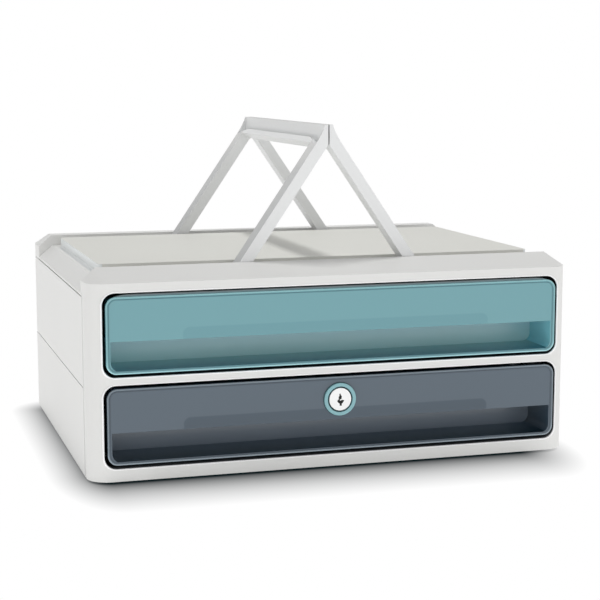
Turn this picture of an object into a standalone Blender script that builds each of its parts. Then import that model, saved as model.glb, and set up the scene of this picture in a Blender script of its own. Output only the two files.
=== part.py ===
"""Desktop file drawer: two drawers in a white case, with two folding bails on top.

Metres, +Z up, front towards -Y. The origin is on the floor under the middle of the whole outline.
Depths are counted from the case's front face, heights from the case's underside.
"""
import math

import bmesh
import bpy
from mathutils import Matrix, Vector

MM = 0.001

# Case outline
CASE_WIDTH = 370.0 * MM
CASE_DEPTH = 286.6 * MM
CASE_WALL = 2.6 * MM
CORNER_FRONT = 16.0 * MM
CORNER_BACK = 5.0 * MM
FOOT_HEIGHT = 2.0 * MM
GAP = 0.3 * MM
SEAM = 0.6 * MM
OVERRUN = 5.0 * MM
ARC_STEPS = 6
SHARP_ANGLE = math.radians(30)

# Front frame, from its underside up
BOTTOM_RAIL = 9.0 * MM
BAY_HEIGHT = 60.6 * MM
MIDDLE_BAR = 5.3 * MM
TOP_RAIL = 6.5 * MM
RIM_RISE = 9.0 * MM
STILE_WIDTH = 10.5 * MM
BAY_CORNER = 9.0 * MM
FRAME_WALL = 2.4 * MM
BAR_WALL = 1.4 * MM
FRAME_DEPTH = 22.85 * MM
RIM_OVERHANG = 2.4 * MM
RIM_CHAMFER = 10.5 * MM
RIM_WALL = 3.4 * MM
RIM_POCKET_START = 4.5 * MM
RIM_POCKET_INSET = 6.5 * MM
STILE_POCKET_RISE = 3.0 * MM
RAIL_POCKET_INSET = 4.0 * MM
SEAM_DROP = 4.5 * MM

# Top cover, deck and rear rim
COVER_STEP = 0.5 * MM
COVER_CHAMFER_WIDTH = 11.5 * MM
COVER_CHAMFER_HEIGHT = 9.5 * MM
TONGUE_WALL = 2.4 * MM
TONGUE_DEPTH = 5.4 * MM
DECK_INSET = 15.8 * MM
DECK_DROP = 0.2 * MM
DECK_CORNER = 4.0 * MM
GROOVE_WIDTH = 18.9 * MM
REAR_RIM_DEPTH = 29.55 * MM
REAR_RIM_FLAT = 14.1 * MM

# Shelf between the bays
SHELF_THICKNESS = 2.4 * MM
SHELF_LIFT = 2.2 * MM
LEDGE_WIDTH = 2.7 * MM
LEDGE_LAP = 2.8 * MM

# Feet
FOOT_RADIUS = 8.0 * MM
FOOT_STEM_RADIUS = 2.5 * MM
FOOT_INSET_X = 30.0 * MM
FOOT_INSET_Y = 34.0 * MM

# Bails
BAIL_LEG_WIDTH = 15.5 * MM
BAIL_THICKNESS = 8.3 * MM
BAIL_TOP_TO_AXIS = 4.4 * MM
BAIL_ANGLE = math.radians(55.6)
BAIL_CROSSBAR = 4.45 * MM
BAIL_INNER_CORNER = 2.5 * MM
BAIL_GUSSET = 1.5 * MM
GRIP_GAP = 1.2 * MM
BAIL_FLANK_ROOM = 3.2 * MM
SHOULDER_RUN = 25.0 * MM
SHOULDER_DROP = 6.2 * MM
SHOULDER_BEND = 1.4
LIP_LENGTH = 14.9 * MM
LIP_THICKNESS = 2.1 * MM
LIP_SKIN = 1.2 * MM
LIP_CREASE = 0.65 * MM
LIP_BEND = 3.5 * MM
GROOVE_CLEARANCE = 0.5 * MM
FOLD_CLEARANCE = 0.3 * MM
PIN_RADIUS = 2.0 * MM
PIN_CLEARANCE = 0.25 * MM
PIN_TAIL = 0.4 * MM

# Drawers
FACE_GAP_SIDE = 2.4 * MM
FACE_GAP_HEIGHT = 2.75 * MM
LOWER_LIFT = 0.5 * MM
FACE_PROUD = 1.9 * MM
FACE_CORNER = 7.4 * MM
FACE_THICKNESS = 3.6 * MM
RIM_BAND = 2.1 * MM
RIM_STEP = 0.6 * MM
PANEL_HEIGHT = 29.7 * MM
RECESS_DEPTH = 35.4 * MM
RECESS_SIDE = 1.1 * MM
RECESS_CORNER = 6.0 * MM
RECESS_WALL = 1.9 * MM
POCKET_WIDTH = 234.0 * MM
POCKET_RISE = 8.4 * MM
POCKET_DEPTH = 10.5 * MM
POCKET_LOCK_GAP = 32.0 * MM
TRAY_SIDE_ROOM = 8.5 * MM
TRAY_TOP_ROOM = 9.1 * MM
TRAY_BACK_ROOM = 3.0 * MM
TRAY_WALL = 2.0 * MM
TRAY_LIFT = 0.4 * MM
TRAY_CORNER = 5.0 * MM
FLANGE_WIDTH = 5.5 * MM
FLANGE_THICKNESS = 2.5 * MM
FLANGE_HEIGHT = 34.4 * MM
STOP_LENGTH = 6.0 * MM
STOP_WIDTH = 6.0 * MM
STOP_CATCH = 1.2 * MM
DRAWER_TRAVEL = 190.0 * MM
LUG_WIDTH = 12.0 * MM
LUG_RISE = 10.0 * MM
LUG_INSET = 16.0 * MM
SCREW_RADIUS = 1.5 * MM
SCREW_HEAD_RADIUS = 3.2 * MM
SCREW_HEAD = 2.0 * MM
SCREW_TIP = 1.0 * MM

# Runners
RUNNER_WALL = 2.2 * MM
RUNNER_CLEARANCE = 0.4 * MM
RUNNER_SIDE_CLEARANCE = 0.6 * MM
RUNNER_ARM = 4.6 * MM
RUNNER_BASE_HEIGHT = 18.0 * MM
RUNNER_START = 44.0 * MM

# Lock
LOCK_DROP = 19.1 * MM
ROSETTE_RADIUS = 12.2 * MM
ROSETTE_PROUD = 1.9 * MM
BARREL_RADIUS = 9.2 * MM
BARREL_PROUD = 1.2 * MM
BARREL_LENGTH = 17.3 * MM
PLUG_HEAD_RADIUS = 8.4 * MM
PLUG_HEAD = 3.2 * MM
PLUG_PROUD = 1.7 * MM
PLUG_RADIUS = 5.2 * MM
PLUG_CLEARANCE = 0.3 * MM
PLUG_TAIL_RADIUS = 3.0 * MM
KEYWAY_DEPTH = 2.2 * MM
NUT_RADIUS = 11.3 * MM
NUT_THICKNESS = 3.0 * MM
CAM_CATCH = 3.0 * MM
CAM_HALF_WIDTH = 4.0 * MM
CAM_THICKNESS = 2.0 * MM
CAM_CLEARANCE = 0.9 * MM
CAM_SCREW_HEAD_RADIUS = 3.4 * MM
CAM_SCREW_HEAD = 1.8 * MM
CAM_SCREW_SHANK = 3.0 * MM
CAM_SCREW_RADIUS = 1.4 * MM

# The keyway's outline as shares of the plug head's radius, clockwise from its top
KEYWAY_SHARES = (
    (-0.08, 0.43), (0.03, 0.45), (0.03, 0.33), (0.12, 0.26), (0.10, 0.08), (0.06, -0.02),
    (0.09, -0.09), (0.18, -0.07), (0.32, -0.09), (0.20, -0.29), (0.11, -0.36), (0.13, -0.51),
    (-0.06, -0.51), (-0.04, -0.36), (-0.20, -0.24), (-0.26, -0.12), (-0.13, 0.02), (-0.14, 0.16),
    (-0.08, 0.29),
)

# Colours as linear values
WHITE = (0.76, 0.77, 0.76)
DECK_WHITE = (0.67, 0.67, 0.64)
TEAL = (0.20, 0.39, 0.43)
SLATE = (0.135, 0.165, 0.195)
LOCK_TEAL = (0.16, 0.37, 0.41)
STEEL = (0.55, 0.56, 0.57)
RUBBER = (0.05, 0.05, 0.05)

# Derived places
HALF_WIDTH = CASE_WIDTH / 2
BAY_HALF = HALF_WIDTH - STILE_WIDTH
LOWER_BAY_BOTTOM = BOTTOM_RAIL
LOWER_BAY_TOP = LOWER_BAY_BOTTOM + BAY_HEIGHT
UPPER_BAY_BOTTOM = LOWER_BAY_TOP + MIDDLE_BAR
UPPER_BAY_TOP = UPPER_BAY_BOTTOM + BAY_HEIGHT
MIDDLE_SEAM = LOWER_BAY_TOP - SEAM_DROP
TOP_SEAM = UPPER_BAY_TOP - SEAM_DROP
RIM_EDGE = UPPER_BAY_TOP + TOP_RAIL
RIM_TOP = RIM_EDGE + RIM_RISE
COVER_TOP = RIM_EDGE + COVER_STEP
DECK_TOP = RIM_TOP - DECK_DROP
SHELF_BOTTOM = LOWER_BAY_TOP + SHELF_LIFT
RIM_DEPTH = FRAME_DEPTH + RIM_OVERHANG
LOCK_PROUD = FACE_PROUD - RIM_STEP + ROSETTE_PROUD
FRONT = LOCK_PROUD / 2 - CASE_DEPTH / 2
INNER_HALF = HALF_WIDTH - CASE_WALL
CASE_START = FRAME_DEPTH + GAP
BACK_INNER = CASE_DEPTH - CASE_WALL
REAR_RIM_START = CASE_DEPTH - REAR_RIM_DEPTH
BAIL_MIDDLE = (RIM_DEPTH + REAR_RIM_START) / 2
BAIL_HALF_WIDTH = (REAR_RIM_START - RIM_DEPTH) / 2 - GROOVE_CLEARANCE
DECK_HALF = HALF_WIDTH - DECK_INSET
DECK_START = RIM_DEPTH + GROOVE_WIDTH
DECK_END = REAR_RIM_START - GROOVE_WIDTH
RIM_FLAT_HALF = HALF_WIDTH - RIM_CHAMFER
COVER_FLAT_HALF = HALF_WIDTH - COVER_CHAMFER_WIDTH
COVER_EDGE = COVER_TOP - COVER_CHAMFER_HEIGHT
HINGE_HEIGHT = COVER_TOP + FOLD_CLEARANCE + BAIL_THICKNESS - BAIL_TOP_TO_AXIS
BAIL_UNDER = BAIL_TOP_TO_AXIS - BAIL_THICKNESS
FOLDED_ANGLE = math.pi - BAIL_ANGLE
LIP_DROP = math.pi / 2 - BAIL_ANGLE

# The raised bails' grips meet over the middle: the reach puts each lip's root there when its
# crossbar, laid flat, clears the deck's flank by BAIL_FLANK_ROOM and the groove's clearance.
BAIL_INNER_FOLDED = DECK_HALF + GROOVE_CLEARANCE + BAIL_FLANK_ROOM
LIP_ROOT = BAIL_CROSSBAR - LIP_CREASE
BAIL_REACH_FOLDED = BAIL_INNER_FOLDED + LIP_ROOT
BAIL_LEAN = GRIP_GAP / 2 + BAIL_TOP_TO_AXIS * math.sin(BAIL_ANGLE)
BAIL_REACH = (BAIL_REACH_FOLDED - BAIL_LEAN) / (1 + math.cos(BAIL_ANGLE))
HINGE_X = BAIL_REACH_FOLDED - BAIL_REACH
PIN_FRONT = RIM_DEPTH - RIM_WALL - PIN_TAIL
PIN_BACK = DECK_START + CASE_WALL + PIN_TAIL

# The lower drawer sits a little high in its bay
LOWER_DRAWER_LOW = LOWER_BAY_BOTTOM + LOWER_LIFT
LOWER_DRAWER_HIGH = LOWER_BAY_TOP + LOWER_LIFT

FACE_HALF = BAY_HALF - FACE_GAP_SIDE
PANEL_FRONT = RIM_STEP - FACE_PROUD
PANEL_BACK = PANEL_FRONT + FACE_THICKNESS - RIM_STEP
TRAY_START = RECESS_DEPTH + RECESS_WALL + GAP
TRAY_END = BACK_INNER - TRAY_BACK_ROOM
TRAY_HALF = BAY_HALF - TRAY_SIDE_ROOM
LUG_HALF = TRAY_HALF - LUG_INSET
FLANGE_HALF = TRAY_HALF + FLANGE_WIDTH
RUNNER_END = BACK_INNER - CORNER_BACK + CASE_WALL - GAP
CAM_START = BARREL_LENGTH - BARREL_PROUD + PANEL_FRONT + GAP
PLUG_FRONT = PANEL_FRONT - PLUG_PROUD
LOCK_HEIGHT = LOWER_BAY_TOP - LOCK_DROP
CAM_REACH = LOCK_DROP + CAM_CATCH
CAM_SWING = math.sqrt(CAM_REACH**2 - LOCK_DROP**2)


def clear_scene():
    """Remove what the scene holds."""
    for item in list(bpy.data.objects):
        bpy.data.objects.remove(item, do_unlink=True)


def material(name, colour, roughness, metallic=0.0):
    """One principled material."""
    paint = bpy.data.materials.get(name)
    if paint is None:
        paint = bpy.data.materials.new(name)
        paint.use_nodes = True
        shader = paint.node_tree.nodes["Principled BSDF"]
        shader.inputs["Base Color"].default_value = (*colour, 1.0)
        shader.inputs["Roughness"].default_value = roughness
        shader.inputs["Metallic"].default_value = metallic
        paint.diffuse_color = (*colour, 1.0)
    return paint


def white_plastic():
    return material("white_plastic", WHITE, 0.42)


def deck_plastic():
    return material("deck_plastic", DECK_WHITE, 0.6)


def teal_plastic():
    return material("teal_plastic", TEAL, 0.22)


def slate_plastic():
    return material("slate_plastic", SLATE, 0.22)


def lock_teal():
    return material("lock_teal", LOCK_TEAL, 0.35)


def plug_white():
    return material("plug_white", (0.9, 0.9, 0.9), 0.3)


def steel():
    return material("steel", STEEL, 0.3, 1.0)


def rubber():
    return material("rubber", RUBBER, 0.8)


def add_mesh(name, points, faces, paint, origin=(0.0, 0.0, 0.0)):
    """An object with its faces turned outward and its origin at the given place."""
    shape = bmesh.new()
    corners = [shape.verts.new(Vector(point) - Vector(origin)) for point in points]
    for face in faces:
        shape.faces.new([corners[index] for index in face])
    bmesh.ops.recalc_face_normals(shape, faces=shape.faces)
    mesh = bpy.data.meshes.new(name)
    shape.to_mesh(mesh)
    shape.free()
    mesh.materials.append(paint)
    mesh.shade_smooth()
    mesh.set_sharp_from_angle(angle=SHARP_ANGLE)
    item = bpy.data.objects.new(name, mesh)
    item.location = origin
    bpy.context.scene.collection.objects.link(item)
    return item


def sweep(name, outline, axis, low, high, paint, origin=(0.0, 0.0, 0.0)):
    """A closed solid: an outline swept straight along one axis."""
    order = {
        "X": lambda a, b, c: (c, a, b),
        "Y": lambda a, b, c: (a, c, b),
        "Z": lambda a, b, c: (a, b, c),
    }[axis]
    count = len(outline)
    points = [order(a, b, low) for a, b in outline] + [order(a, b, high) for a, b in outline]
    faces = [tuple(range(count)), tuple(range(count, 2 * count))]
    for index in range(count):
        after = (index + 1) % count
        faces.append((index, after, count + after, count + index))
    return add_mesh(name, points, faces, paint, origin)


def depth(value):
    """World Y of a depth behind the case's front face."""
    return FRONT + value


def height(value):
    """World Z of a height above the case's underside."""
    return FOOT_HEIGHT + value


def arc(centre_a, centre_b, radius, start, stop, steps=ARC_STEPS):
    """Points on an arc, angles in radians."""
    points = []
    for index in range(steps + 1):
        angle = start + (stop - start) * index / steps
        points.append((centre_a + radius * math.cos(angle), centre_b + radius * math.sin(angle)))
    return points


def rounded(low_a, high_a, low_b, high_b, radii):
    """A rectangle with its own corner radii: low-low, high-low, high-high, low-high."""
    corners = (
        (low_a, low_b, 1, 1, math.pi), (high_a, low_b, -1, 1, 1.5 * math.pi),
        (high_a, high_b, -1, -1, 0.0), (low_a, high_b, 1, -1, 0.5 * math.pi),
    )
    points = []
    for (a, b, side_a, side_b, start), radius in zip(corners, radii):
        if radius > 0:
            points += arc(a + side_a * radius, b + side_b * radius, radius, start, start + math.pi / 2)
        else:
            points.append((a, b))
    return points


def box(name, low, high, paint):
    """An upright block: x, depth and height of its two far corners."""
    outline = rounded(low[0], high[0], depth(low[1]), depth(high[1]), (0, 0, 0, 0))
    return sweep(name, outline, "Z", height(low[2]), height(high[2]), paint)


def disc(name, radius, centre, axis, low, high, paint, sides=24, turn=0.0, origin=(0.0, 0.0, 0.0)):
    """A round or many-sided pin along one axis, by its radius."""
    outline = arc(centre[0], centre[1], radius, turn, turn + 2 * math.pi * (sides - 1) / sides, sides - 1)
    return sweep(name, outline, axis, low, high, paint, origin)


def apply(piece, other, operation):
    """A Boolean with a helper that stays in the file, hidden."""
    step = piece.modifiers.new(other.name, "BOOLEAN")
    step.operation = operation
    step.solver = "EXACT"
    step.object = other
    other.hide_render = True
    other.display_type = "WIRE"


def cut(piece, *others):
    for other in others:
        apply(piece, other, "DIFFERENCE")
    return piece


def join(piece, *others):
    for other in others:
        apply(piece, other, "UNION")
    return piece


def rim_body(name, flat_half, start, edge_low, edge_flat, corner, low, paint):
    """A rim: straight below its edge, then a slope and two chamfers up to its top.

    start is its straight inner side, edge_low the far side of its outline and edge_flat where its
    flat top ends. The corners are cones that end in the top's corners.
    """
    outward = 1 if edge_low > start else -1
    centre = edge_low - outward * corner
    left = arc(corner - HALF_WIDTH, centre, corner, math.pi, math.pi - outward * math.pi / 2)
    right = [(-x, y) for x, y in reversed(left)]
    outline = [(-HALF_WIDTH, start)] + left + right + [(HALF_WIDTH, start)]
    count = len(outline)
    points = [(x, depth(y), height(low)) for x, y in outline]
    points += [(x, depth(y), height(RIM_EDGE)) for x, y in outline]
    flat = abs(edge_flat - start) > GAP
    tops = [(-flat_half, edge_flat), (flat_half, edge_flat)]
    if flat:
        tops += [(flat_half, start), (-flat_half, start)]
    points += [(x, depth(y), height(RIM_TOP)) for x, y in tops]
    top_left, top_right = 2 * count, 2 * count + 1
    inner_right, inner_left = (2 * count + 2, 2 * count + 3) if flat else (top_right, top_left)
    faces = [tuple(range(count))]
    for index in range(count - 1):
        faces.append((index, index + 1, count + index + 1, count + index))
    faces.append((count - 1, 0, count, inner_left, inner_right, 2 * count - 1))
    last_left = 1 + ARC_STEPS
    for index in range(1, last_left):
        faces.append((count + index, count + index + 1, top_left))
    for index in range(last_left + 1, count - 2):
        faces.append((count + index, count + index + 1, top_right))
    faces.append((count + last_left, count + last_left + 1, top_right, top_left))
    if flat:
        faces.append((count, count + 1, top_left, inner_left))
        faces.append((2 * count - 2, 2 * count - 1, inner_right, top_right))
        faces.append((top_left, top_right, inner_right, inner_left))
    else:
        faces.append((count, count + 1, top_left))
        faces.append((2 * count - 2, 2 * count - 1, top_right))
    return add_mesh(name, points, faces, paint)


def bay(name, low, high, paint):
    """A drawer bay's opening through the frame."""
    outline = rounded(-BAY_HALF, BAY_HALF, height(low), height(high), (BAY_CORNER,) * 4)
    return sweep(name, outline, "Y", depth(-OVERRUN), depth(RIM_DEPTH + OVERRUN), paint)


def stile_pocket(name, side, paint):
    """The hollow of an upright, open at the back and rounded like the corner in front."""
    inner = BAY_HALF + FRAME_WALL
    radius = CORNER_FRONT - CASE_WALL
    centre = HALF_WIDTH - CORNER_FRONT
    start = math.acos((inner - centre) / radius)
    outline = [(centre + radius * math.cos(a), CORNER_FRONT - radius * math.sin(a))
               for a in [start * (1 - index / ARC_STEPS) for index in range(ARC_STEPS + 1)]]
    outline += [(INNER_HALF, RIM_DEPTH + OVERRUN), (inner, RIM_DEPTH + OVERRUN)]
    outline = [(side * x, depth(y)) for x, y in outline]
    top = TOP_SEAM - SEAM - CASE_WALL
    return sweep(name, outline, "Z", height(BOTTOM_RAIL + STILE_POCKET_RISE), height(top), paint)


def front_frame():
    paint = white_plastic()
    frame = rim_body("front_frame", RIM_FLAT_HALF, RIM_DEPTH, 0.0, RIM_DEPTH, CORNER_FRONT, 0.0, paint)
    span = HALF_WIDTH - CORNER_FRONT - RAIL_POCKET_INSET
    behind = RIM_DEPTH + OVERRUN
    cut(frame, box("frame_back_step", (-HALF_WIDTH - OVERRUN, FRAME_DEPTH, -OVERRUN),
                   (HALF_WIDTH + OVERRUN, behind, TOP_SEAM), paint))
    cut(frame, bay("lower_bay_cut", LOWER_BAY_BOTTOM, LOWER_BAY_TOP, paint))
    cut(frame, bay("upper_bay_cut", UPPER_BAY_BOTTOM, UPPER_BAY_TOP, paint))
    for side, word in ((-1, "left"), (1, "right")):
        cut(frame, stile_pocket("stile_pocket_" + word, side, paint))
    cut(frame, box("middle_bar_pocket", (-span, CASE_WALL, LOWER_BAY_TOP + BAR_WALL),
                   (span, behind, UPPER_BAY_BOTTOM - BAR_WALL), paint))
    cut(frame, box("bottom_rail_pocket", (-span, CASE_WALL, CASE_WALL),
                   (span, behind, LOWER_BAY_BOTTOM - FRAME_WALL), paint))
    ceiling = UPPER_BAY_TOP + FRAME_WALL
    slope = (RIM_TOP - RIM_EDGE) / RIM_DEPTH
    wall_back = RIM_DEPTH - RIM_WALL
    ledge = COVER_TOP - CASE_WALL - GAP
    outline = [
        (depth(RIM_POCKET_START), height(ceiling)), (depth(behind), height(ceiling)),
        (depth(behind), height(ledge)), (depth(wall_back), height(ledge)),
        (depth(wall_back), height(RIM_EDGE + slope * wall_back - CASE_WALL)),
        (depth(RIM_POCKET_START), height(RIM_EDGE + slope * RIM_POCKET_START - CASE_WALL)),
    ]
    pocket = RIM_FLAT_HALF - RIM_POCKET_INSET
    cut(frame, sweep("top_rail_pocket", outline, "X", -pocket, pocket, paint))
    notch_room = CAM_HALF_WIDTH + CAM_CLEARANCE
    cut(frame, box("cam_notch", (-notch_room, CAM_START - CAM_THICKNESS, LOWER_BAY_TOP - OVERRUN),
                   (CAM_SWING + notch_room, behind, UPPER_BAY_BOTTOM - BAR_WALL), paint))
    for side, word in ((-1, "left"), (1, "right")):
        cut(frame, pin_bore("frame_pin_bore_" + word, side, PIN_FRONT - GAP, RIM_DEPTH + OVERRUN, paint))
    return frame


def pin_bore(name, side, start, stop, paint):
    """A hole for a bail's pin through a fixed wall."""
    radius = PIN_RADIUS + PIN_CLEARANCE
    centre = (side * HINGE_X, height(HINGE_HEIGHT))
    return disc(name, radius, centre, "Y", depth(start), depth(stop), paint, 16)


def case_outline(half, start, stop, corner):
    """The plan of a shell with two rounded corners at its back."""
    return rounded(-half, half, depth(start), depth(stop), (0, 0, corner, corner))


def lower_case():
    paint = white_plastic()
    outline = case_outline(HALF_WIDTH, CASE_START, CASE_DEPTH, CORNER_BACK)
    case = sweep("lower_case", outline, "Z", height(0), height(MIDDLE_SEAM - SEAM), paint)
    inner = case_outline(INNER_HALF, CASE_START - OVERRUN, BACK_INNER, CORNER_BACK - CASE_WALL)
    cut(case, sweep("lower_case_hollow", inner, "Z", height(CASE_WALL), height(MIDDLE_SEAM + OVERRUN), paint))
    for x, y, word in foot_places():
        radius = FOOT_STEM_RADIUS + GAP
        cut(case, disc("foot_hole_" + word, radius, (x, depth(y)), "Z", 0.0, height(CASE_WALL + OVERRUN),
                       paint, 16))
    return case


def upper_case():
    paint = white_plastic()
    top = TOP_SEAM - SEAM
    outline = case_outline(HALF_WIDTH, CASE_START, CASE_DEPTH, CORNER_BACK)
    case = sweep("upper_case", outline, "Z", height(MIDDLE_SEAM), height(top), paint)
    inner = case_outline(INNER_HALF, CASE_START - OVERRUN, BACK_INNER, CORNER_BACK - CASE_WALL)
    cut(case, sweep("upper_case_hollow", inner, "Z", height(MIDDLE_SEAM - OVERRUN), height(top + OVERRUN),
                    paint))
    tip = INNER_HALF - LEDGE_WIDTH - GAP
    for side, word in ((-1, "left"), (1, "right")):
        shelf_ledge = [
            (tip, SHELF_BOTTOM - GAP), (tip, MIDDLE_SEAM - LEDGE_LAP),
            (INNER_HALF - GAP, MIDDLE_SEAM - LEDGE_LAP), (INNER_HALF - GAP, MIDDLE_SEAM + SEAM),
            (INNER_HALF + CASE_WALL / 2, MIDDLE_SEAM + SEAM),
            (INNER_HALF + CASE_WALL / 2, SHELF_BOTTOM - GAP),
        ]
        shelf_ledge = [(side * x, height(z)) for x, z in shelf_ledge]
        ledge = sweep("shelf_ledge_" + word, shelf_ledge, "Y", depth(CASE_START + OVERRUN),
                      depth(BACK_INNER - OVERRUN), paint)
        join(case, ledge)
    return case


def middle_shelf():
    half = INNER_HALF - GAP
    outline = case_outline(half, CASE_START, BACK_INNER - GAP, CORNER_BACK - CASE_WALL)
    return sweep("middle_shelf", outline, "Z", height(SHELF_BOTTOM), height(SHELF_BOTTOM + SHELF_THICKNESS),
                 white_plastic())


def top_cover():
    """The cover's section: a flat, two chamfered flanks and the tongues that lap the case."""
    inner_tongue = INNER_HALF - GAP - TONGUE_WALL
    slope = COVER_CHAMFER_HEIGHT / COVER_CHAMFER_WIDTH
    under = COVER_TOP - CASE_WALL
    drop = CASE_WALL * math.hypot(1.0, slope)
    inner_edge = COVER_TOP - slope * (inner_tongue - COVER_FLAT_HALF) - drop
    inner_flat = COVER_FLAT_HALF - (drop - CASE_WALL) / slope
    right = [
        (COVER_FLAT_HALF, COVER_TOP), (HALF_WIDTH, COVER_EDGE), (HALF_WIDTH, TOP_SEAM),
        (INNER_HALF - GAP, TOP_SEAM), (INNER_HALF - GAP, TOP_SEAM - TONGUE_DEPTH),
        (inner_tongue, TOP_SEAM - TONGUE_DEPTH), (inner_tongue, inner_edge), (inner_flat, under),
    ]
    outline = right + [(-x, z) for x, z in reversed(right)]
    outline = [(x, height(z)) for x, z in outline]
    return sweep("top_cover", outline, "Y", depth(RIM_DEPTH + GAP), depth(REAR_RIM_START - GAP),
                 white_plastic())


def rear_rim():
    """The rear rim: the same top profile as the front frame's, turned round and hollow below."""
    paint = white_plastic()
    rim = rim_body("rear_rim", RIM_FLAT_HALF, REAR_RIM_START, CASE_DEPTH, REAR_RIM_START + REAR_RIM_FLAT,
                   CORNER_BACK, TOP_SEAM, paint)
    half = RIM_FLAT_HALF - CASE_WALL
    slope = (RIM_TOP - RIM_EDGE) / (CASE_DEPTH - REAR_RIM_START - REAR_RIM_FLAT)
    front = REAR_RIM_START + CASE_WALL
    back = BACK_INNER
    flat_end = REAR_RIM_START + REAR_RIM_FLAT - CASE_WALL / 2
    outline = [
        (depth(front), height(TOP_SEAM - OVERRUN)), (depth(front), height(RIM_TOP - CASE_WALL)),
        (depth(flat_end), height(RIM_TOP - CASE_WALL)),
        (depth(back), height(RIM_TOP - CASE_WALL - slope * (back - flat_end))),
        (depth(back), height(TOP_SEAM - OVERRUN)),
    ]
    cut(rim, sweep("rear_rim_hollow", outline, "X", -half, half, paint))
    for side, word in ((-1, "left"), (1, "right")):
        cut(rim, pin_bore("rim_pin_bore_" + word, side, REAR_RIM_START - OVERRUN,
                          2 * BAIL_MIDDLE - PIN_FRONT + GAP, paint))
    return rim


def top_deck():
    paint = deck_plastic()
    half = DECK_HALF
    outline = rounded(-half, half, depth(DECK_START), depth(DECK_END), (DECK_CORNER,) * 4)
    deck = sweep("top_deck", outline, "Z", height(COVER_TOP + GAP), height(DECK_TOP), paint)
    radius = DECK_CORNER - CASE_WALL
    inner = rounded(CASE_WALL - half, half - CASE_WALL, depth(DECK_START + CASE_WALL),
                    depth(DECK_END - CASE_WALL), (radius,) * 4)
    cut(deck, sweep("deck_hollow", inner, "Z", height(COVER_TOP - OVERRUN), height(DECK_TOP - CASE_WALL),
                    paint))
    for side, word in ((-1, "left"), (1, "right")):
        cut(deck, pin_bore("deck_pin_bore_front_" + word, side, DECK_START - OVERRUN, PIN_BACK + GAP, paint))
        cut(deck, pin_bore("deck_pin_bore_back_" + word, side, 2 * BAIL_MIDDLE - PIN_BACK - GAP,
                           DECK_END + OVERRUN, paint))
    return deck


def hinge_pins():
    for side, word in ((-1, "left"), (1, "right")):
        centre = (side * HINGE_X, height(HINGE_HEIGHT))
        disc("hinge_pin_front_" + word, PIN_RADIUS, centre, "Y", depth(PIN_FRONT), depth(PIN_BACK), steel(), 16)
        start = 2 * BAIL_MIDDLE - PIN_BACK
        stop = 2 * BAIL_MIDDLE - PIN_FRONT
        disc("hinge_pin_back_" + word, PIN_RADIUS, centre, "Y", depth(start), depth(stop), steel(), 16)


def foot_places():
    x = HALF_WIDTH - FOOT_INSET_X
    front = CASE_START + FOOT_INSET_Y / 2
    back = CASE_DEPTH - FOOT_INSET_Y
    return (
        (-x, front, "front_left"), (x, front, "front_right"),
        (-x, back, "back_left"), (x, back, "back_right"),
    )


def feet():
    for x, y, word in foot_places():
        foot = disc("foot_" + word, FOOT_RADIUS, (x, depth(y)), "Z", 0.0, height(-GAP), rubber(), 20)
        stem = disc("foot_stem_" + word, FOOT_STEM_RADIUS, (x, depth(y)), "Z", FOOT_HEIGHT / 2,
                    height(CASE_WALL - GAP), rubber(), 16)
        join(foot, stem)


def bail_profile(side):
    """The bail seen from the front, along its reach and across it, in its own axes.

    Laid flat, its top is at BAIL_TOP_TO_AXIS, its round heel turns on the pin, and its lip drops
    along the case's chamfer.
    """
    radius = -BAIL_UNDER
    heel = arc(0.0, 0.0, radius, -math.pi / 2, -1.5 * math.pi, 2 * ARC_STEPS)
    root = (BAIL_REACH, BAIL_TOP_TO_AXIS)
    tip = (root[0] + LIP_LENGTH * math.cos(LIP_DROP), root[1] - LIP_LENGTH * math.sin(LIP_DROP))
    end = LIP_THICKNESS + GAP
    under_tip = (tip[0] - end * math.sin(LIP_DROP), tip[1] - end * math.cos(LIP_DROP))
    bend = (root[0] - LIP_BEND, BAIL_UNDER)
    points = heel + [(BAIL_TOP_TO_AXIS, BAIL_TOP_TO_AXIS), root, tip, under_tip]
    for share in (0.75, 0.5, 0.25):
        drop = (under_tip[1] - bend[1]) * share * share
        points.append((bend[0] + (under_tip[0] - bend[0]) * share, bend[1] + drop))
    points.append(bend)
    return [(side * along, across) for along, across in points]


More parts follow.
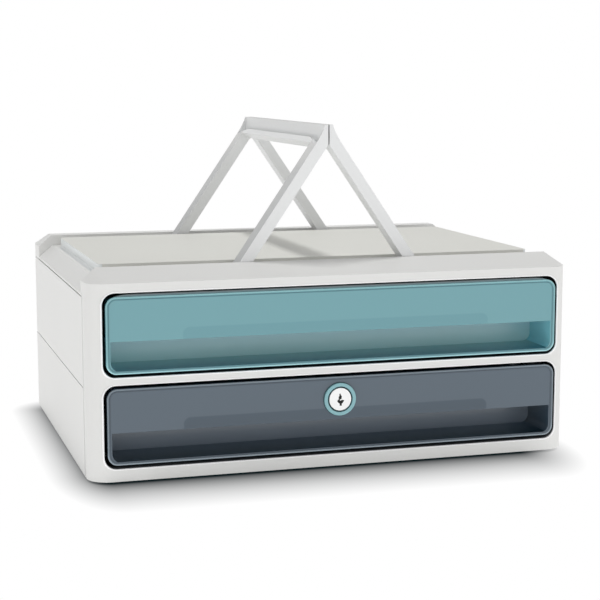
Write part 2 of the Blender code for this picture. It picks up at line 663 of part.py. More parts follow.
def lip_hollow(name, side, crease, through, paint):
    """The hollow under a bail's lip, from gusset to gusset.

    Its back follows the frame's outer edge, which is straight along the grip and falls away to each
    leg in a long shoulder. Its roof leaves the lip's thickness, or LIP_SKIN where the frame is cut.
    """
    clear = BAIL_HALF_WIDTH - BAIL_GUSSET
    far = BAIL_REACH + LIP_LENGTH
    slope = math.tan(LIP_DROP)
    ceiling = BAIL_TOP_TO_AXIS - LIP_SKIN
    at_crease = BAIL_TOP_TO_AXIS - LIP_THICKNESS / math.cos(LIP_DROP) - slope * (crease - BAIL_REACH)
    knee_drop = (ceiling - at_crease) / slope
    knee_share = (knee_drop / SHOULDER_DROP)**(1 / SHOULDER_BEND)
    shares = [knee_share * index / ARC_STEPS for index in range(ARC_STEPS)]
    shares += [knee_share + (1 - knee_share) * index / ARC_STEPS for index in range(ARC_STEPS + 1)]
    back = [(crease - SHOULDER_DROP * share**SHOULDER_BEND, clear - SHOULDER_RUN * (1 - share))
            for share in shares]
    front = [(a, -b) for a, b in reversed(back)]
    knee = crease - knee_drop
    plan = back + [(knee, clear), (far, clear), (far, -clear), (knee, -clear)] + front
    roof = [min(ceiling, at_crease + slope * (crease - a)) for a, _ in plan]
    points = [(side * a, b, -through) for a, b in plan]
    points += [(side * a, b, top) for (a, b), top in zip(plan, roof)]
    count = len(plan)
    faces = [tuple(range(count))]
    for index in range(count):
        after = (index + 1) % count
        faces.append((index, after, count + after, count + index))
    turned = len(back)
    back_knee = count + ARC_STEPS
    front_knee = 2 * count - 1 - ARC_STEPS
    far_back = count + turned
    far_front = far_back + 3
    faces.append((*range(count, back_knee + 1), *range(far_back, far_front + 1),
                  *range(front_knee, 2 * count)))
    faces.append(tuple(range(back_knee, far_back + 1)))
    faces.append(tuple(range(far_front, front_knee + 1)))
    return add_mesh(name, points, faces, paint)


def bail(name, side):
    """One bail, modelled about its pin's axis and turned to its raised rest place."""
    paint = white_plastic()
    outline = bail_profile(side)
    handle = sweep(name, outline, "Y", -BAIL_HALF_WIDTH, BAIL_HALF_WIDTH, paint)
    inner = BAIL_HALF_WIDTH - BAIL_LEG_WIDTH
    opening_end = BAIL_REACH - LIP_ROOT
    through = BAIL_THICKNESS + OVERRUN
    radii = (0, BAIL_INNER_CORNER, BAIL_INNER_CORNER, 0)
    window = [(side * a, b) for a, b in rounded(-through, opening_end, -inner, inner, radii)]
    tools = [sweep(name + "_window", window, "Z", -through, through, paint)]
    tools.append(lip_hollow(name + "_lip_hollow", side, opening_end + BAIL_CROSSBAR, through, paint))
    bore_radius = PIN_RADIUS + PIN_CLEARANCE
    tools.append(disc(name + "_pin_bore", bore_radius, (0.0, 0.0), "Y", -BAIL_HALF_WIDTH - OVERRUN,
                      BAIL_HALF_WIDTH + OVERRUN, paint, 16))
    cut(handle, *tools)
    place = Matrix.Translation((side * HINGE_X, depth(BAIL_MIDDLE), height(HINGE_HEIGHT)))
    turn = Matrix.Rotation(-side * FOLDED_ANGLE, 4, "Y")
    for item in [handle] + tools:
        item.matrix_world = place @ turn
    return handle


def drawer_front(name, bay_low, bay_high, paint, with_lock):
    """A drawer front: a face with a raised rim, a full-width finger recess and a pocket above it."""
    low = bay_low + FACE_GAP_HEIGHT
    high = bay_high - FACE_GAP_HEIGHT
    outline = rounded(-FACE_HALF, FACE_HALF, height(low), height(high), (FACE_CORNER,) * 4)
    front = sweep(name, outline, "Y", depth(-FACE_PROUD), depth(PANEL_BACK), paint)
    inner_half = FACE_HALF - RIM_BAND
    inner_corner = FACE_CORNER - RIM_BAND
    boundary = high - RIM_BAND - PANEL_HEIGHT
    recess_half = inner_half - RECESS_SIDE
    trough_half = recess_half + RECESS_WALL
    trough_top = boundary + RECESS_WALL
    radii = (RECESS_CORNER, RECESS_CORNER, 0, 0)
    trough = rounded(-trough_half, trough_half, height(low), height(trough_top), radii)
    join(front, sweep(name + "_trough", trough, "Y", depth(PANEL_BACK - GAP), depth(RECESS_DEPTH + RECESS_WALL),
                      paint))
    half = POCKET_WIDTH / 2
    if with_lock:
        spans = [(-half, -POCKET_LOCK_GAP / 2, "left"), (POCKET_LOCK_GAP / 2, half, "right")]
    else:
        spans = [(-half, half, "middle")]
    pocket_high = boundary + POCKET_RISE
    pocket_back = PANEL_BACK + POCKET_DEPTH
    for start, stop, word in spans:
        join(front, box(name + "_pocket_shell_" + word,
                        (start - RECESS_WALL, PANEL_BACK - GAP, trough_top - GAP),
                        (stop + RECESS_WALL, pocket_back + RECESS_WALL, pocket_high + RECESS_WALL), paint))
    for side, word in ((-1, "left"), (1, "right")):
        middle = side * LUG_HALF
        join(front, box(name + "_lug_" + word, (middle - LUG_WIDTH / 2, RECESS_DEPTH, trough_top - GAP),
                        (middle + LUG_WIDTH / 2, RECESS_DEPTH + RECESS_WALL, trough_top + LUG_RISE), paint))
        centre = (middle, height(trough_top + LUG_RISE / 2))
        cut(front, disc(name + "_lug_hole_" + word, SCREW_RADIUS + PIN_CLEARANCE, centre, "Y",
                        depth(RECESS_DEPTH - OVERRUN), depth(TRAY_START + OVERRUN), paint, 12))
    panel = rounded(-inner_half, inner_half, height(low + RIM_BAND), height(high - RIM_BAND),
                    (inner_corner,) * 4)
    cut(front, sweep(name + "_panel_step", panel, "Y", depth(-FACE_PROUD - OVERRUN), depth(PANEL_FRONT), paint))
    recess = rounded(-recess_half, recess_half, height(low + RIM_BAND), height(boundary), radii)
    cut(front, sweep(name + "_recess", recess, "Y", depth(-FACE_PROUD - OVERRUN), depth(RECESS_DEPTH), paint))
    for start, stop, word in spans:
        cut(front, box(name + "_pocket_" + word, (start, PANEL_BACK, boundary - OVERRUN),
                       (stop, pocket_back, pocket_high), paint))
    if with_lock:
        cut(front, disc(name + "_lock_hole", BARREL_RADIUS + GAP, (0.0, height(LOCK_HEIGHT)), "Y",
                        depth(-FACE_PROUD - OVERRUN), depth(PANEL_BACK + OVERRUN), paint, 32))
    return front


def drawer_tray(name, bay_low, bay_high, wall_back, paint):
    """An open tray with a sliding flange on each side and two stop tabs.

    The tabs catch the back of the frame's wall over the bay, wall_back deep, when it is pulled out.
    """
    low = bay_low + FACE_GAP_HEIGHT + TRAY_LIFT
    high = bay_high - TRAY_TOP_ROOM
    radii = (TRAY_CORNER,) * 4
    outline = rounded(-TRAY_HALF, TRAY_HALF, depth(TRAY_START), depth(TRAY_END), radii)
    tray = sweep(name, outline, "Z", height(low), height(high), paint)
    flange_low = bay_low + FLANGE_HEIGHT
    for side, word in ((-1, "left"), (1, "right")):
        outer = side * FLANGE_HALF
        inner = side * (TRAY_HALF - TRAY_WALL / 2)
        join(tray, box(name + "_flange_" + word,
                       (min(outer, inner), TRAY_START + TRAY_CORNER, flange_low),
                       (max(outer, inner), TRAY_END - TRAY_CORNER, flange_low + FLANGE_THICKNESS), paint))
        outer = side * (TRAY_HALF - TRAY_WALL / 4)
        inner = side * (TRAY_HALF - STOP_WIDTH)
        stop_start = wall_back + GAP + DRAWER_TRAVEL
        join(tray, box(name + "_stop_" + word, (min(outer, inner), stop_start, high - STOP_LENGTH),
                       (max(outer, inner), stop_start + STOP_LENGTH, bay_high + STOP_CATCH), paint))
    wall = TRAY_WALL
    hollow = rounded(wall - TRAY_HALF, TRAY_HALF - wall, depth(TRAY_START + wall), depth(TRAY_END - wall),
                     (TRAY_CORNER - wall,) * 4)
    cut(tray, sweep(name + "_hollow", hollow, "Z", height(low + wall), height(high), paint))
    boundary = bay_high - FACE_GAP_HEIGHT - RIM_BAND - PANEL_HEIGHT
    screw_height = boundary + RECESS_WALL + LUG_RISE / 2
    for side, word in ((-1, "left"), (1, "right")):
        centre = (side * LUG_HALF, height(screw_height))
        cut(tray, disc(name + "_screw_hole_" + word, SCREW_RADIUS + PIN_CLEARANCE, centre, "Y",
                       depth(TRAY_START - OVERRUN), depth(TRAY_START + wall + OVERRUN), paint, 12))
    return tray


def drawer_screws(name, bay_high):
    """The screws that hold a tray to its front's lugs."""
    boundary = bay_high - FACE_GAP_HEIGHT - RIM_BAND - PANEL_HEIGHT
    screw_height = boundary + RECESS_WALL + LUG_RISE / 2
    head_start = TRAY_START + TRAY_WALL + GAP
    for side, word in ((-1, "left"), (1, "right")):
        centre = (side * LUG_HALF, height(screw_height))
        screw = disc(name + "_" + word, SCREW_HEAD_RADIUS, centre, "Y", depth(head_start),
                     depth(head_start + SCREW_HEAD), steel(), 16)
        shank = disc(name + "_shank_" + word, SCREW_RADIUS, centre, "Y", depth(RECESS_DEPTH - SCREW_TIP),
                     depth(head_start + SCREW_HEAD / 2), steel(), 12)
        join(screw, shank)


def runner(name, side, bay_low):
    """A channel round a tray's flange, on a web and a plate against the case's wall."""
    flange_low = bay_low + FLANGE_HEIGHT
    slot_low = flange_low - RUNNER_CLEARANCE
    slot_high = flange_low + FLANGE_THICKNESS + RUNNER_CLEARANCE
    low = slot_low - RUNNER_WALL
    high = slot_high + RUNNER_WALL
    slot_side = FLANGE_HALF + RUNNER_SIDE_CLEARANCE
    tip = FLANGE_HALF - RUNNER_ARM + RUNNER_SIDE_CLEARANCE
    plate_out = INNER_HALF - GAP
    plate_in = plate_out - RUNNER_WALL
    middle = (slot_low + slot_high) / 2
    web_low = middle - RUNNER_WALL / 2
    web_high = middle + RUNNER_WALL / 2
    plate_low = middle - RUNNER_BASE_HEIGHT / 2
    plate_high = middle + RUNNER_BASE_HEIGHT / 2
    back = slot_side + RUNNER_WALL
    outline = [
        (tip, low), (back, low), (back, web_low), (plate_in, web_low), (plate_in, plate_low),
        (plate_out, plate_low), (plate_out, plate_high), (plate_in, plate_high), (plate_in, web_high),
        (back, web_high), (back, high), (tip, high), (tip, slot_high), (slot_side, slot_high),
        (slot_side, slot_low), (tip, slot_low),
    ]
    outline = [(side * x, height(z)) for x, z in outline]
    piece = sweep(name, outline, "Y", depth(RUNNER_START), depth(RUNNER_END), white_plastic())
    stop = [(tip, low + RUNNER_WALL / 2), (slot_side + RUNNER_WALL / 2, low + RUNNER_WALL / 2),
            (slot_side + RUNNER_WALL / 2, high - RUNNER_WALL / 2), (tip, high - RUNNER_WALL / 2)]
    stop = [(side * x, height(z)) for x, z in stop]
    stop_start = TRAY_END - TRAY_CORNER + GAP
    join(piece, sweep(name + "_stop", stop, "Y", depth(stop_start), depth(RUNNER_END - RUNNER_WALL / 2),
                      white_plastic()))
    return piece


def lock():
    """A cam lock through the lower drawer's panel."""
    centre = (0.0, height(LOCK_HEIGHT))
    axis = (0.0, depth(PLUG_FRONT), height(LOCK_HEIGHT))
    dark = steel()

    ring_back = PANEL_FRONT - GAP
    ring_front = PANEL_FRONT - ROSETTE_PROUD
    ring = disc("lock_ring", ROSETTE_RADIUS, centre, "Y", depth(ring_front), depth(ring_back), lock_teal(), 48)
    cut(ring, disc("lock_ring_hole", BARREL_RADIUS + GAP, centre, "Y", depth(ring_front - OVERRUN),
                   depth(ring_back + OVERRUN), lock_teal(), 32))

    barrel_front = PANEL_FRONT - BARREL_PROUD
    barrel_back = barrel_front + BARREL_LENGTH
    body = disc("lock_body", BARREL_RADIUS, centre, "Y", depth(barrel_front), depth(barrel_back), dark, 32)
    head_back = PLUG_FRONT + PLUG_HEAD + PLUG_CLEARANCE
    mouth_radius = PLUG_HEAD_RADIUS + PLUG_CLEARANCE
    cut(body, disc("barrel_mouth", mouth_radius, centre, "Y", depth(barrel_front - OVERRUN), depth(head_back),
                   dark, 32))
    cut(body, disc("barrel_bore", PLUG_RADIUS + PLUG_CLEARANCE, centre, "Y", depth(barrel_front),
                   depth(barrel_back + OVERRUN), dark, 24))

    nut_start = PANEL_BACK + GAP
    nut = disc("lock_nut", NUT_RADIUS, centre, "Y", depth(nut_start), depth(nut_start + NUT_THICKNESS), dark, 6)
    cut(nut, disc("nut_bore", BARREL_RADIUS + GAP, centre, "Y", depth(nut_start - OVERRUN),
                  depth(nut_start + NUT_THICKNESS + OVERRUN), dark, 32))

    plug = disc("lock_plug", PLUG_HEAD_RADIUS, centre, "Y", depth(PLUG_FRONT), depth(PLUG_FRONT + PLUG_HEAD),
                plug_white(), 32, 0.0, axis)
    stem = disc("plug_stem", PLUG_RADIUS, centre, "Y", depth(PLUG_FRONT + PLUG_HEAD / 2), depth(barrel_back),
                plug_white(), 24)
    tail = disc("plug_tail", PLUG_TAIL_RADIUS, centre, "Y", depth(barrel_back - PLUG_HEAD),
                depth(CAM_START + CAM_THICKNESS), plug_white(), 4, math.pi / 4)
    join(plug, stem, tail)
    keyway = [(share_x * PLUG_HEAD_RADIUS, height(LOCK_HEIGHT) + share_z * PLUG_HEAD_RADIUS)
              for share_x, share_z in KEYWAY_SHARES]
    cut(plug, sweep("keyway", keyway, "Y", depth(PLUG_FRONT - OVERRUN), depth(PLUG_FRONT + KEYWAY_DEPTH),
                    plug_white()))
    screw_back = CAM_START + CAM_THICKNESS + GAP
    bore = CAM_SCREW_RADIUS + PIN_CLEARANCE
    cut(plug, disc("plug_screw_bore", bore, centre, "Y", depth(screw_back - CAM_SCREW_SHANK - GAP),
                   depth(screw_back + OVERRUN), plug_white(), 12))

    reach = CAM_REACH - CAM_HALF_WIDTH
    outline = arc(0.0, 0.0, 1.5 * CAM_HALF_WIDTH, math.pi / 4, 1.75 * math.pi, 2 * ARC_STEPS)
    outline += arc(reach, 0.0, CAM_HALF_WIDTH, -math.pi / 2, math.pi / 2)
    outline = [(x, height(LOCK_HEIGHT) + z) for x, z in outline]
    cam = sweep("lock_cam", outline, "Y", depth(CAM_START), depth(CAM_START + CAM_THICKNESS), dark, axis)
    cut(cam, disc("cam_hole", PLUG_TAIL_RADIUS + GAP * math.sqrt(2), centre, "Y", depth(CAM_START - OVERRUN),
                  depth(CAM_START + CAM_THICKNESS + OVERRUN), dark, 4, math.pi / 4))

    screw = disc("cam_screw", CAM_SCREW_HEAD_RADIUS, centre, "Y", depth(screw_back),
                 depth(screw_back + CAM_SCREW_HEAD), dark, 20, 0.0, axis)
    join(screw, disc("cam_screw_shank", CAM_SCREW_RADIUS, centre, "Y", depth(screw_back - CAM_SCREW_SHANK),
                     depth(screw_back + CAM_SCREW_HEAD / 2), dark, 12))


def empty(name, place, *children):
    """A parent on a moving body's axis or slide."""
    parent = bpy.data.objects.new(name, None)
    parent.location = place
    bpy.context.scene.collection.objects.link(parent)
    bpy.context.view_layer.update()
    for word in children:
        child = bpy.data.objects[word]
        world = child.matrix_world.copy()
        child.parent = parent
        child.matrix_parent_inverse = parent.matrix_world.inverted()
        child.matrix_world = world
    return parent


def build():
    clear_scene()
    front_frame()
    lower_case()
    upper_case()
    middle_shelf()
    top_cover()
    rear_rim()
    top_deck()
    feet()
    hinge_pins()
    bail("left_handle", -1)
    bail("right_handle", 1)
    drawer_front("upper_front", UPPER_BAY_BOTTOM, UPPER_BAY_TOP, teal_plastic(), False)
    drawer_front("lower_front", LOWER_DRAWER_LOW, LOWER_DRAWER_HIGH, slate_plastic(), True)
    drawer_tray("upper_tray", UPPER_BAY_BOTTOM, UPPER_BAY_TOP, RIM_DEPTH, teal_plastic())
    drawer_tray("lower_tray", LOWER_DRAWER_LOW, LOWER_DRAWER_HIGH, FRAME_DEPTH, slate_plastic())
    drawer_screws("upper_screw", UPPER_BAY_TOP)
    drawer_screws("lower_screw", LOWER_DRAWER_HIGH)
    for side, word in ((-1, "left"), (1, "right")):
        runner("runner_upper_" + word, side, UPPER_BAY_BOTTOM)
        runner("runner_lower_" + word, side, LOWER_DRAWER_LOW)
    lock()
    empty("upper_drawer", (0.0, depth(0), height(UPPER_BAY_BOTTOM)),
          "upper_front", "upper_tray", "upper_screw_left", "upper_screw_right")
    empty("lower_drawer", (0.0, depth(0), height(LOWER_BAY_BOTTOM)),
          "lower_front", "lower_tray", "lower_screw_left", "lower_screw_right",
          "lock_ring", "lock_body", "lock_nut")
    empty("lock_turn", (0.0, depth(PLUG_FRONT), height(LOCK_HEIGHT)), "lock_plug", "lock_cam", "cam_screw")


build()
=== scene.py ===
import math

import bmesh
import bpy
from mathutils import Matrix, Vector


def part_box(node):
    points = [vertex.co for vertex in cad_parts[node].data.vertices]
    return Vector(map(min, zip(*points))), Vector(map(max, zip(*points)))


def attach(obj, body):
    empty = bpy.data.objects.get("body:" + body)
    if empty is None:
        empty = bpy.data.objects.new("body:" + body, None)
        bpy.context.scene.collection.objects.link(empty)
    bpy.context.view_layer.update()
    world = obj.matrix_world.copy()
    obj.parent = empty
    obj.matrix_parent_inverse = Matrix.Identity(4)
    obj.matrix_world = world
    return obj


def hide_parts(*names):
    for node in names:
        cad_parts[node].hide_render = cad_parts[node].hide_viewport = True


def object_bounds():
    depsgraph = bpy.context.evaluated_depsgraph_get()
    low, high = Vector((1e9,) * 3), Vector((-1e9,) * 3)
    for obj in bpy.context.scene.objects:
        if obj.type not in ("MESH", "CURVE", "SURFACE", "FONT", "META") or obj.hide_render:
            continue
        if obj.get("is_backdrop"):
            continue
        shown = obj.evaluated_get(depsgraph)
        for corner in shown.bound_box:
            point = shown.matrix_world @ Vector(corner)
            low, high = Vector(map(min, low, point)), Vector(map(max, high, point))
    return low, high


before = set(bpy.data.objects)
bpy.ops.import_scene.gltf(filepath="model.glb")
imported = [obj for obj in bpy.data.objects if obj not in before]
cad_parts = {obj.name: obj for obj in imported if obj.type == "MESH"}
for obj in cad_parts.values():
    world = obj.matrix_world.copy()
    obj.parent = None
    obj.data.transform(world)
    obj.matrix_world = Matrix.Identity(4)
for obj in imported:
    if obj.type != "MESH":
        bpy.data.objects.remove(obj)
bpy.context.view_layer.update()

# The camera stands to the left of the unit and a little above it, about 1.2 m away, with a short
# telephoto lens. It comes first so that every piece can be judged from the photograph's place.
CAMERA_PLACE = (-0.34793, -1.19793, 0.28752)
CAMERA_TURN = 16.75
CAMERA_DIP = 8.28
LENS = 92.44
SENSOR_WIDTH = 36.0
VIEW_END = 20.0

lens = bpy.data.cameras.new("photo_camera")
lens.sensor_width = SENSOR_WIDTH
lens.lens = LENS
lens.clip_end = VIEW_END
camera = bpy.data.objects.new("photo_camera", lens)
camera.location = CAMERA_PLACE
camera.rotation_euler = (math.radians(90 - CAMERA_DIP), 0.0, math.radians(-CAMERA_TURN))
bpy.context.scene.collection.objects.link(camera)
bpy.context.scene.camera = camera
bpy.context.scene.view_settings.view_transform = "Standard"

# The front frame is one moulding of white high-impact polystyrene: a ring with two bays, rounded
# uprights and a top rim that slopes up to the groove. It is moulded with a fine spark-eroded
# grain that spreads the light softly. The bays' inner walls are painted near-black as shade, so
# the gap round each drawer reads as a dark line; the lower bay's floor is painted shade too, grey
# at the mouth and darker deeper in.
CASE_WHITE = "#e6e6e4"
BAY_SHADE_BLACK = "#0b1316"
EDGE_ROUND = 0.0006
SEAM_ROUND = 0.00022
SIDE_SEAM_DEPTH = 0.023
BAY_SHADE_START = 0.0012
SILL_SHADE_GREY = "#85878a"
SILL_FADE = 0.014
BAY_HALF = 0.1745
BAY_HEIGHTS = {"upper": (0.0769, 0.1375), "lower": (0.0110, 0.0716)}
BAY_SLACK = 0.0002
SEAM_REACH = 0.0004
MERGE_DISTANCE = 0.00001
FLAT_ANGLE = 0.6
FACES_ALONG = 0.9
POLYSTYRENE_IOR = 1.59
SHEEN_SPREAD = 0.05


def srgb(code):
    """A hex colour as linear values with full alpha."""
    shares = [int(code[start:start + 2], 16) / 255 for start in (1, 3, 5)]
    return [c / 12.92 if c <= 0.04045 else ((c + 0.055) / 1.055) ** 2.4 for c in shares] + [1.0]


def add(tree, kind, sockets=None, **settings):
    """One node with its settings; a socket takes a value or, as a link, another node's output."""
    made = tree.nodes.new(kind)
    for name, value in settings.items():
        setattr(made, name, value)
    for name, value in (sockets or {}).items():
        if isinstance(value, bpy.types.NodeSocket):
            tree.links.new(value, made.inputs[name])
        else:
            made.inputs[name].default_value = value
    return made


def faded(tree, place, body, fade):
    """Body colour that turns to another one along an axis, from one place to the other."""
    axis, start, end, colour = fade
    along = add(tree, "ShaderNodeSeparateXYZ", {"Vector": place}).outputs[axis]
    share = add(tree, "ShaderNodeMapRange", {"Value": along, "From Min": start, "From Max": end},
                interpolation_type="SMOOTHSTEP")
    return add(tree, "ShaderNodeMix", {0: share.outputs["Result"], 6: body, 7: srgb(colour)},
               data_type="RGBA").outputs[2]


def fresh_paint(name):
    """A new material with its tree, its shader and the coordinates of the piece that it is on."""
    paint = bpy.data.materials.new(name)
    paint.use_nodes = True
    tree = paint.node_tree
    return paint, tree, tree.nodes["Principled BSDF"], add(tree, "ShaderNodeTexCoord").outputs["Object"]


def polystyrene(name, colour, roughness, grain_mm=0.7, grain_depth=0.00001, drift=0.02, fade=None):
    """Opaque moulded polystyrene: an even colour that drifts a little over a hand's width, and the
    grain of the spark-eroded mould. The real grain is near 0.1 mm and would vanish at this
    distance, so it is drawn coarser.
    """
    paint, tree, shader, place = fresh_paint(name)
    shader.inputs["IOR"].default_value = POLYSTYRENE_IOR
    cloud = add(tree, "ShaderNodeTexNoise", {"Vector": place, "Scale": 9.0, "Detail": 2.0})
    light = [min(1.0, c * (1 + drift)) for c in srgb(colour)[:3]] + [1.0]
    dark = [c * (1 - drift) for c in srgb(colour)[:3]] + [1.0]
    tone = add(tree, "ShaderNodeMix", {0: cloud.outputs["Fac"], 6: dark, 7: light}, data_type="RGBA")
    body = faded(tree, place, tone.outputs[2], fade) if fade else tone.outputs[2]
    tree.links.new(body, shader.inputs["Base Color"])
    grain = add(tree, "ShaderNodeTexNoise", {"Vector": place, "Scale": 1000.0 / grain_mm, "Detail": 1.0})
    sheen = add(tree, "ShaderNodeMapRange", {"Value": grain.outputs["Fac"],
                                             "To Min": roughness - SHEEN_SPREAD,
                                             "To Max": roughness + SHEEN_SPREAD})
    tree.links.new(sheen.outputs["Result"], shader.inputs["Roughness"])
    bump = add(tree, "ShaderNodeBump", {"Height": grain.outputs["Fac"], "Distance": grain_depth,
                                        "Strength": 0.2})
    tree.links.new(bump.outputs["Normal"], shader.inputs["Normal"])
    return paint


def linked(name, mesh):
    """A new piece in the scene."""
    piece = bpy.data.objects.new(name, mesh)
    bpy.context.scene.collection.objects.link(piece)
    return piece


def closed(name, shape):
    """A new piece from a shape whose faces close it, all turned outward."""
    bmesh.ops.recalc_face_normals(shape, faces=shape.faces)
    mesh = bpy.data.meshes.new(name)
    shape.to_mesh(mesh)
    shape.free()
    return linked(name, mesh)


def flat_faced(name, node, ring_axis=None):
    """A copy of a CAD node whose loose triangles are merged into whole flat faces.

    Faces along ring_axis (0 is X) keep their triangles, because a merged ring round an opening
    would be filled across.
    """
    piece = linked(name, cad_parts[node].data.copy())
    shape = bmesh.new()
    shape.from_mesh(piece.data)
    bmesh.ops.remove_doubles(shape, verts=shape.verts, dist=MERGE_DISTANCE)
    merged = [edge for edge in shape.edges if ring_axis is None
              or not all(abs(face.normal[ring_axis]) > FACES_ALONG for face in edge.link_faces)]
    bmesh.ops.dissolve_limit(shape, angle_limit=math.radians(FLAT_ANGLE), verts=shape.verts, edges=merged)
    shape.to_mesh(piece.data)
    shape.free()
    return piece


def soften(piece, width, steps=3, angle=28, keep=None):
    """Rounds a piece's edges as a mould does, apart from those that keep says stay sharp."""
    limit = math.radians(angle)
    shape = bmesh.new()
    shape.from_mesh(piece.data)
    weight = shape.edges.layers.float.new("bevel_weight_edge")
    for edge in shape.edges:
        sharp = edge.is_manifold and edge.calc_face_angle() > limit
        edge[weight] = 1.0 if sharp and not (keep and keep(edge)) else 0.0
    shape.to_mesh(piece.data)
    shape.free()
    piece.data.shade_smooth()
    rounding = piece.modifiers.new("moulded_edges", "BEVEL")
    rounding.limit_method = "WEIGHT"
    rounding.width = width
    rounding.segments = steps
    rounding.use_clamp_overlap = True
    evening = piece.modifiers.new("even_faces", "WEIGHTED_NORMAL")
    evening.keep_sharp = True
    evening.weight = 90
    return piece


def dress(piece, body, slot, paint, *nodes):
    """Paints a piece and sets it in place of its CAD nodes."""
    piece.data.materials.clear()
    piece.data.materials.append(paint)
    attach(piece, body)
    if nodes:
        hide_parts(*nodes)
    return piece


case_white = polystyrene("white_polystyrene_spark_eroded", CASE_WHITE, 0.46)
# The bays' inner walls are painted near-black as shade.
bay_painted_shade = polystyrene("black_painted_bay_shade", BAY_SHADE_BLACK, 0.9, drift=0.1)

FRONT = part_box("front_frame")[0].y
# The lower bay's floor is painted shade: grey at the mouth, turning near-black deeper in.
sill_painted_shade = polystyrene("grey_sill_painted_shade", SILL_SHADE_GREY, 0.9, drift=0.0,
                        fade=("Y", FRONT + BAY_SHADE_START, FRONT + SILL_FADE, BAY_SHADE_BLACK))
front_side_seam = FRONT + SIDE_SEAM_DEPTH


def at_side_seam(edge):
    """The joint between frame and case is closed and flush, so it keeps its square edge."""
    return all(abs(corner.co.y - front_side_seam) < SEAM_REACH for corner in edge.verts)


def close_side_seam(piece):
    """Brings the outer walls of frame and case together face to face."""
    for corner in piece.data.vertices:
        if abs(corner.co.y - front_side_seam) < SEAM_REACH:
            corner.co.y = front_side_seam


front_frame = flat_faced("front_frame_moulding", "front_frame")
close_side_seam(front_frame)
dress(front_frame, "casing", "white_plastic", case_white, "front_frame")
front_frame.data.materials.append(bay_painted_shade)
front_frame.data.materials.append(sill_painted_shade)
# Faces inside each bay's mouth take the painted shade; the lower bay's floor takes the graded sill shade.
for face in front_frame.data.polygons:
    middle = face.center
    for level, (low, high) in BAY_HEIGHTS.items():
        inside = abs(middle.x) < BAY_HALF + BAY_SLACK and low - BAY_SLACK < middle.z < high + BAY_SLACK
        if inside and middle.y > FRONT + BAY_SHADE_START and abs(face.normal.y) < 0.5:
            face.material_index = 2 if face.normal.z > 0.5 and level == "lower" else 1
soften(front_frame, EDGE_ROUND, keep=at_side_seam)

# Each bay has a raised lip all round its mouth, left by the mould's split line and polished by
# hand; it is painted pure white as a highlight, so it shows as a thin bright line. It is one small
# round section swept along the mouth.
LIP_HIGHLIGHT_WHITE = "#ffffff"
LIP_RADIUS = 0.0007
LIP_SINK_SHARE = 0.8
BAY_CORNER = 0.009


def growth_tree(name, lengths):
    """A Geometry Nodes tree with its named lengths, a middle and a material, and its input sockets."""
    tree = bpy.data.node_groups.new(name, "GeometryNodeTree")
    for word, value in lengths:
        tree.interface.new_socket(word, in_out="INPUT", socket_type="NodeSocketFloat").default_value = value
    tree.interface.new_socket("Middle", in_out="INPUT", socket_type="NodeSocketVector")
    tree.interface.new_socket("Paint", in_out="INPUT", socket_type="NodeSocketMaterial")
    tree.interface.new_socket("Geometry", in_out="OUTPUT", socket_type="NodeSocketGeometry")
    return tree, add(tree, "NodeGroupInput").outputs


def grown(name, tree, sizes):
    """A plain mesh grown by a Geometry Nodes tree from its named sizes."""
    seed = linked(name, bpy.data.meshes.new(name))
    growth = seed.modifiers.new("growth", "NODES")
    growth.node_group = tree
    for item in tree.interface.items_tree:
        if item.in_out == "INPUT" and item.name in sizes:
            growth[item.identifier] = sizes[item.name]
    seen = seed.evaluated_get(bpy.context.evaluated_depsgraph_get())
    mesh = bpy.data.meshes.new_from_object(seen)
    seed.modifiers.remove(growth)
    seed.data = mesh
    return seed


def swept_ring_tree():
    """A round bead swept along a rounded rectangle that stands upright in the XZ plane."""
    tree, sizes = growth_tree("bead_round_a_mouth",
                              (("Width", 0.3), ("Height", 0.06), ("Corner", 0.009), ("Bead", 0.0006)))
    mouth = add(tree, "GeometryNodeCurvePrimitiveQuadrilateral",
                {"Width": sizes["Width"], "Height": sizes["Height"]})
    corners = add(tree, "GeometryNodeFilletCurve", {"Curve": mouth.outputs["Curve"], "Radius": sizes["Corner"],
                                                    "Count": 12}, mode="POLY")
    upright = add(tree, "GeometryNodeTransform", {"Geometry": corners.outputs["Curve"],
                                                  "Translation": sizes["Middle"],
                                                  "Rotation": (math.pi / 2, 0.0, 0.0)})
    section = add(tree, "GeometryNodeCurvePrimitiveCircle", {"Resolution": 12, "Radius": sizes["Bead"]})
    bead = add(tree, "GeometryNodeCurveToMesh", {"Curve": upright.outputs["Geometry"],
                                                 "Profile Curve": section.outputs["Curve"]})
    smooth = add(tree, "GeometryNodeSetShadeSmooth", {"Geometry": bead.outputs["Mesh"]})
    painted = add(tree, "GeometryNodeSetMaterial", {"Geometry": smooth.outputs["Geometry"],
                                                    "Material": sizes["Paint"]})
    real = add(tree, "GeometryNodeRealizeInstances", {"Geometry": painted.outputs["Geometry"]})
    add(tree, "NodeGroupOutput", {"Geometry": real.outputs["Geometry"]})
    return tree


bead_tree = swept_ring_tree()
# The lip's pure white is a painted highlight.
lip_painted_highlight = polystyrene("white_polystyrene_lip_painted_highlight", LIP_HIGHLIGHT_WHITE, 0.3, drift=0.0)
for word, (low, high) in BAY_HEIGHTS.items():
    lip = grown(word + "_bay_lip", bead_tree, {
        "Width": 2 * BAY_HALF + LIP_RADIUS,
        "Height": high - low + LIP_RADIUS,
        "Corner": BAY_CORNER + LIP_RADIUS / 2,
        "Bead": LIP_RADIUS,
        "Middle": (0.0, FRONT + LIP_RADIUS * LIP_SINK_SHARE, (low + high) / 2),
        "Paint": lip_painted_highlight,
    })
    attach(lip, "casing")

